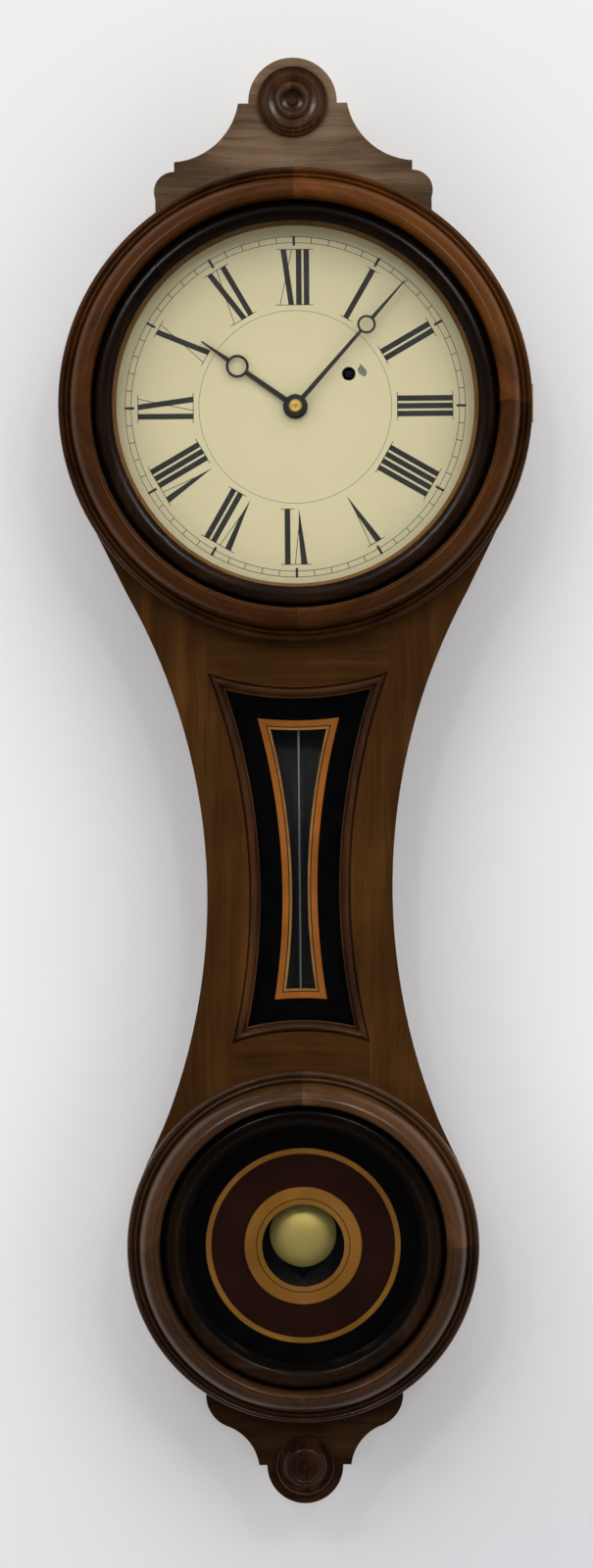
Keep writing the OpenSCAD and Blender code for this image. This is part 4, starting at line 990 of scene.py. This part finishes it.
# Wall. Smooth off-white plaster, which the clock hangs against; it carries the clock's soft shadows.
# Its colour is painted a little darker high up, and darker towards the bottom and more so on the right,
# as painted shade. It is open to lamps and to a camera behind it, so that the clock's back can be looked
# at.
def wall_paint():
    material, shader, place = new_finish("wall_paint", Roughness=0.8)
    clouds = cloud(place, 160.0, 3.0)
    trowel = cloud(place, 6.0, 3.0)
    plaster = blend(tint(240, 240, 240), tint(234, 234, 236), clouds)
    x, z = place.outputs("SeparateXYZ", "X", "Z")
    # Painted shade: a little darker high up on the wall.
    plaster = blend(plaster, tint(228, 228, 226), between(z, -120, 120) * 0.9)
    # Painted shade: darker towards the bottom, more so on the right.
    painted_falloff_shade = between(z * -1, 480, 900) * (between(x, -250, 250) * 0.45 + 0.55)
    blend(plaster, tint(210, 209, 213), painted_falloff_shade).feed(shader, "Base Color")
    relief(trowel, 0.15, 0.3).feed(shader, "Normal")
    behind = place.node("NewGeometry", output="Backfacing")
    lamp_ray = place.node("LightPath", output="Is Shadow Ray")
    let_through(material, shader, place.math("MAXIMUM", behind, lamp_ray))
    return material


WALL_HALF = 4
WALL_Y = 0.0005
corners = [(x * WALL_HALF, WALL_Y, z * WALL_HALF) for x, z in ((-1, -1), (1, -1), (1, 1), (-1, 1))]
wall_mesh = bpy.data.meshes.new("wall")
wall_mesh.from_pydata(corners, [], [(0, 1, 2, 3)])
wall = bpy.data.objects.new("wall", wall_mesh)
bpy.context.scene.collection.objects.link(wall)
wall_mesh.materials.append(wall_paint())


# Camera. It stands 2.2 m from the face of the front boards, about level with the middle of the throat,
# on a lens that frames the whole clock, and leans by half a degree.
CAMERA_AWAY = 2.2
CAMERA_RIGHT = -0.00144
CAMERA_BELOW_DIAL = 0.2261
CAMERA_LEAN = -0.54
LENS = 84.49
FRONT_Y = -0.074
camera_data = bpy.data.cameras.new("camera")
camera_data.sensor_width = 36
camera_data.lens = LENS
camera = bpy.data.objects.new("camera", camera_data)
bpy.context.scene.collection.objects.link(camera)
camera.location = (CAMERA_RIGHT, FRONT_Y - CAMERA_AWAY, DIAL_Z * MM - CAMERA_BELOW_DIAL)
camera.rotation_mode = "XYZ"
camera.rotation_euler = (math.radians(90), 0, 0)
camera.rotation_euler.rotate_axis("Z", math.radians(CAMERA_LEAN))
bpy.context.scene.camera = camera


# Lamps. Two lamps and two brighter ones nearer the middle, high to the left and right, throw the soft
# shadows and the bright spots on the rings. A faint one hangs above and one lights the back; the pale
# room round them is dark behind the camera, and dim where polished wood would mirror it.
def lamp(name, place, aim, size, watts, colour=(1, 1, 1)):
    data = bpy.data.lights.new(name, "AREA")
    data.shape = "DISK"
    data.size = size
    data.energy = watts
    data.color = colour
    made = bpy.data.objects.new(name, data)
    made.location = place
    made.rotation_euler = (Vector(aim) - Vector(place)).to_track_quat("-Z", "Y").to_euler()
    bpy.context.scene.collection.objects.link(made)


middle_of_clock = (0, -0.05, -0.33)
warm = (1.0, 0.97, 0.93)
paler = (1.0, 0.98, 0.95)
lamp("right_lamp", (1.45, -3.6, 1.2), middle_of_clock, 0.45, 5, warm)
lamp("left_lamp", (-1.45, -3.6, 1.2), middle_of_clock, 0.45, 5, paler)
lamp("right_spot", (0.8, -3.65, 1.08), middle_of_clock, 0.3, 9, warm)
lamp("left_spot", (-0.8, -3.65, 1.08), middle_of_clock, 0.3, 9, paler)
lamp("ceiling_lamp", (0.1, -1.4, 1.7), middle_of_clock, 0.8, 1.5, (1.0, 0.98, 0.96))
lamp("back_lamp", (0, 1.8, -0.33), middle_of_clock, 0.1, 12)

room = bpy.data.worlds.new("room")
room.use_nodes = True
sky = Wire(room.node_tree).node("TexCoord", output="Generated")
ahead, upwards = sky.outputs("SeparateXYZ", "Y", "Z")
behind_camera = between(ahead * -1, 0.72, 0.97)
away_from_camera = 1 - behind_camera
ROOM_LIGHT = 1.85
FLOOR, CEILING = (0.4, 0.39, 0.38, 1), (0.98, 0.98, 1.0, 1)
DARK_END, MIRRORED_ROOM = (0.004, 0.004, 0.005, 1), (0.09, 0.09, 0.095, 1)
walls = blend(DARK_END, blend(FLOOR, CEILING, between(upwards, -0.7, 0.5)), away_from_camera)
mirrored = sky.node("LightPath", output="Is Glossy Ray")
walls = blend(walls, MIRRORED_ROOM, mirrored * away_from_camera)
background = room.node_tree.nodes["Background"]
room.node_tree.links.new(walls.socket, background.inputs["Color"])
background.inputs["Strength"].default_value = ROOM_LIGHT
bpy.context.scene.world = room
bpy.context.scene.view_settings.view_transform = "Standard"
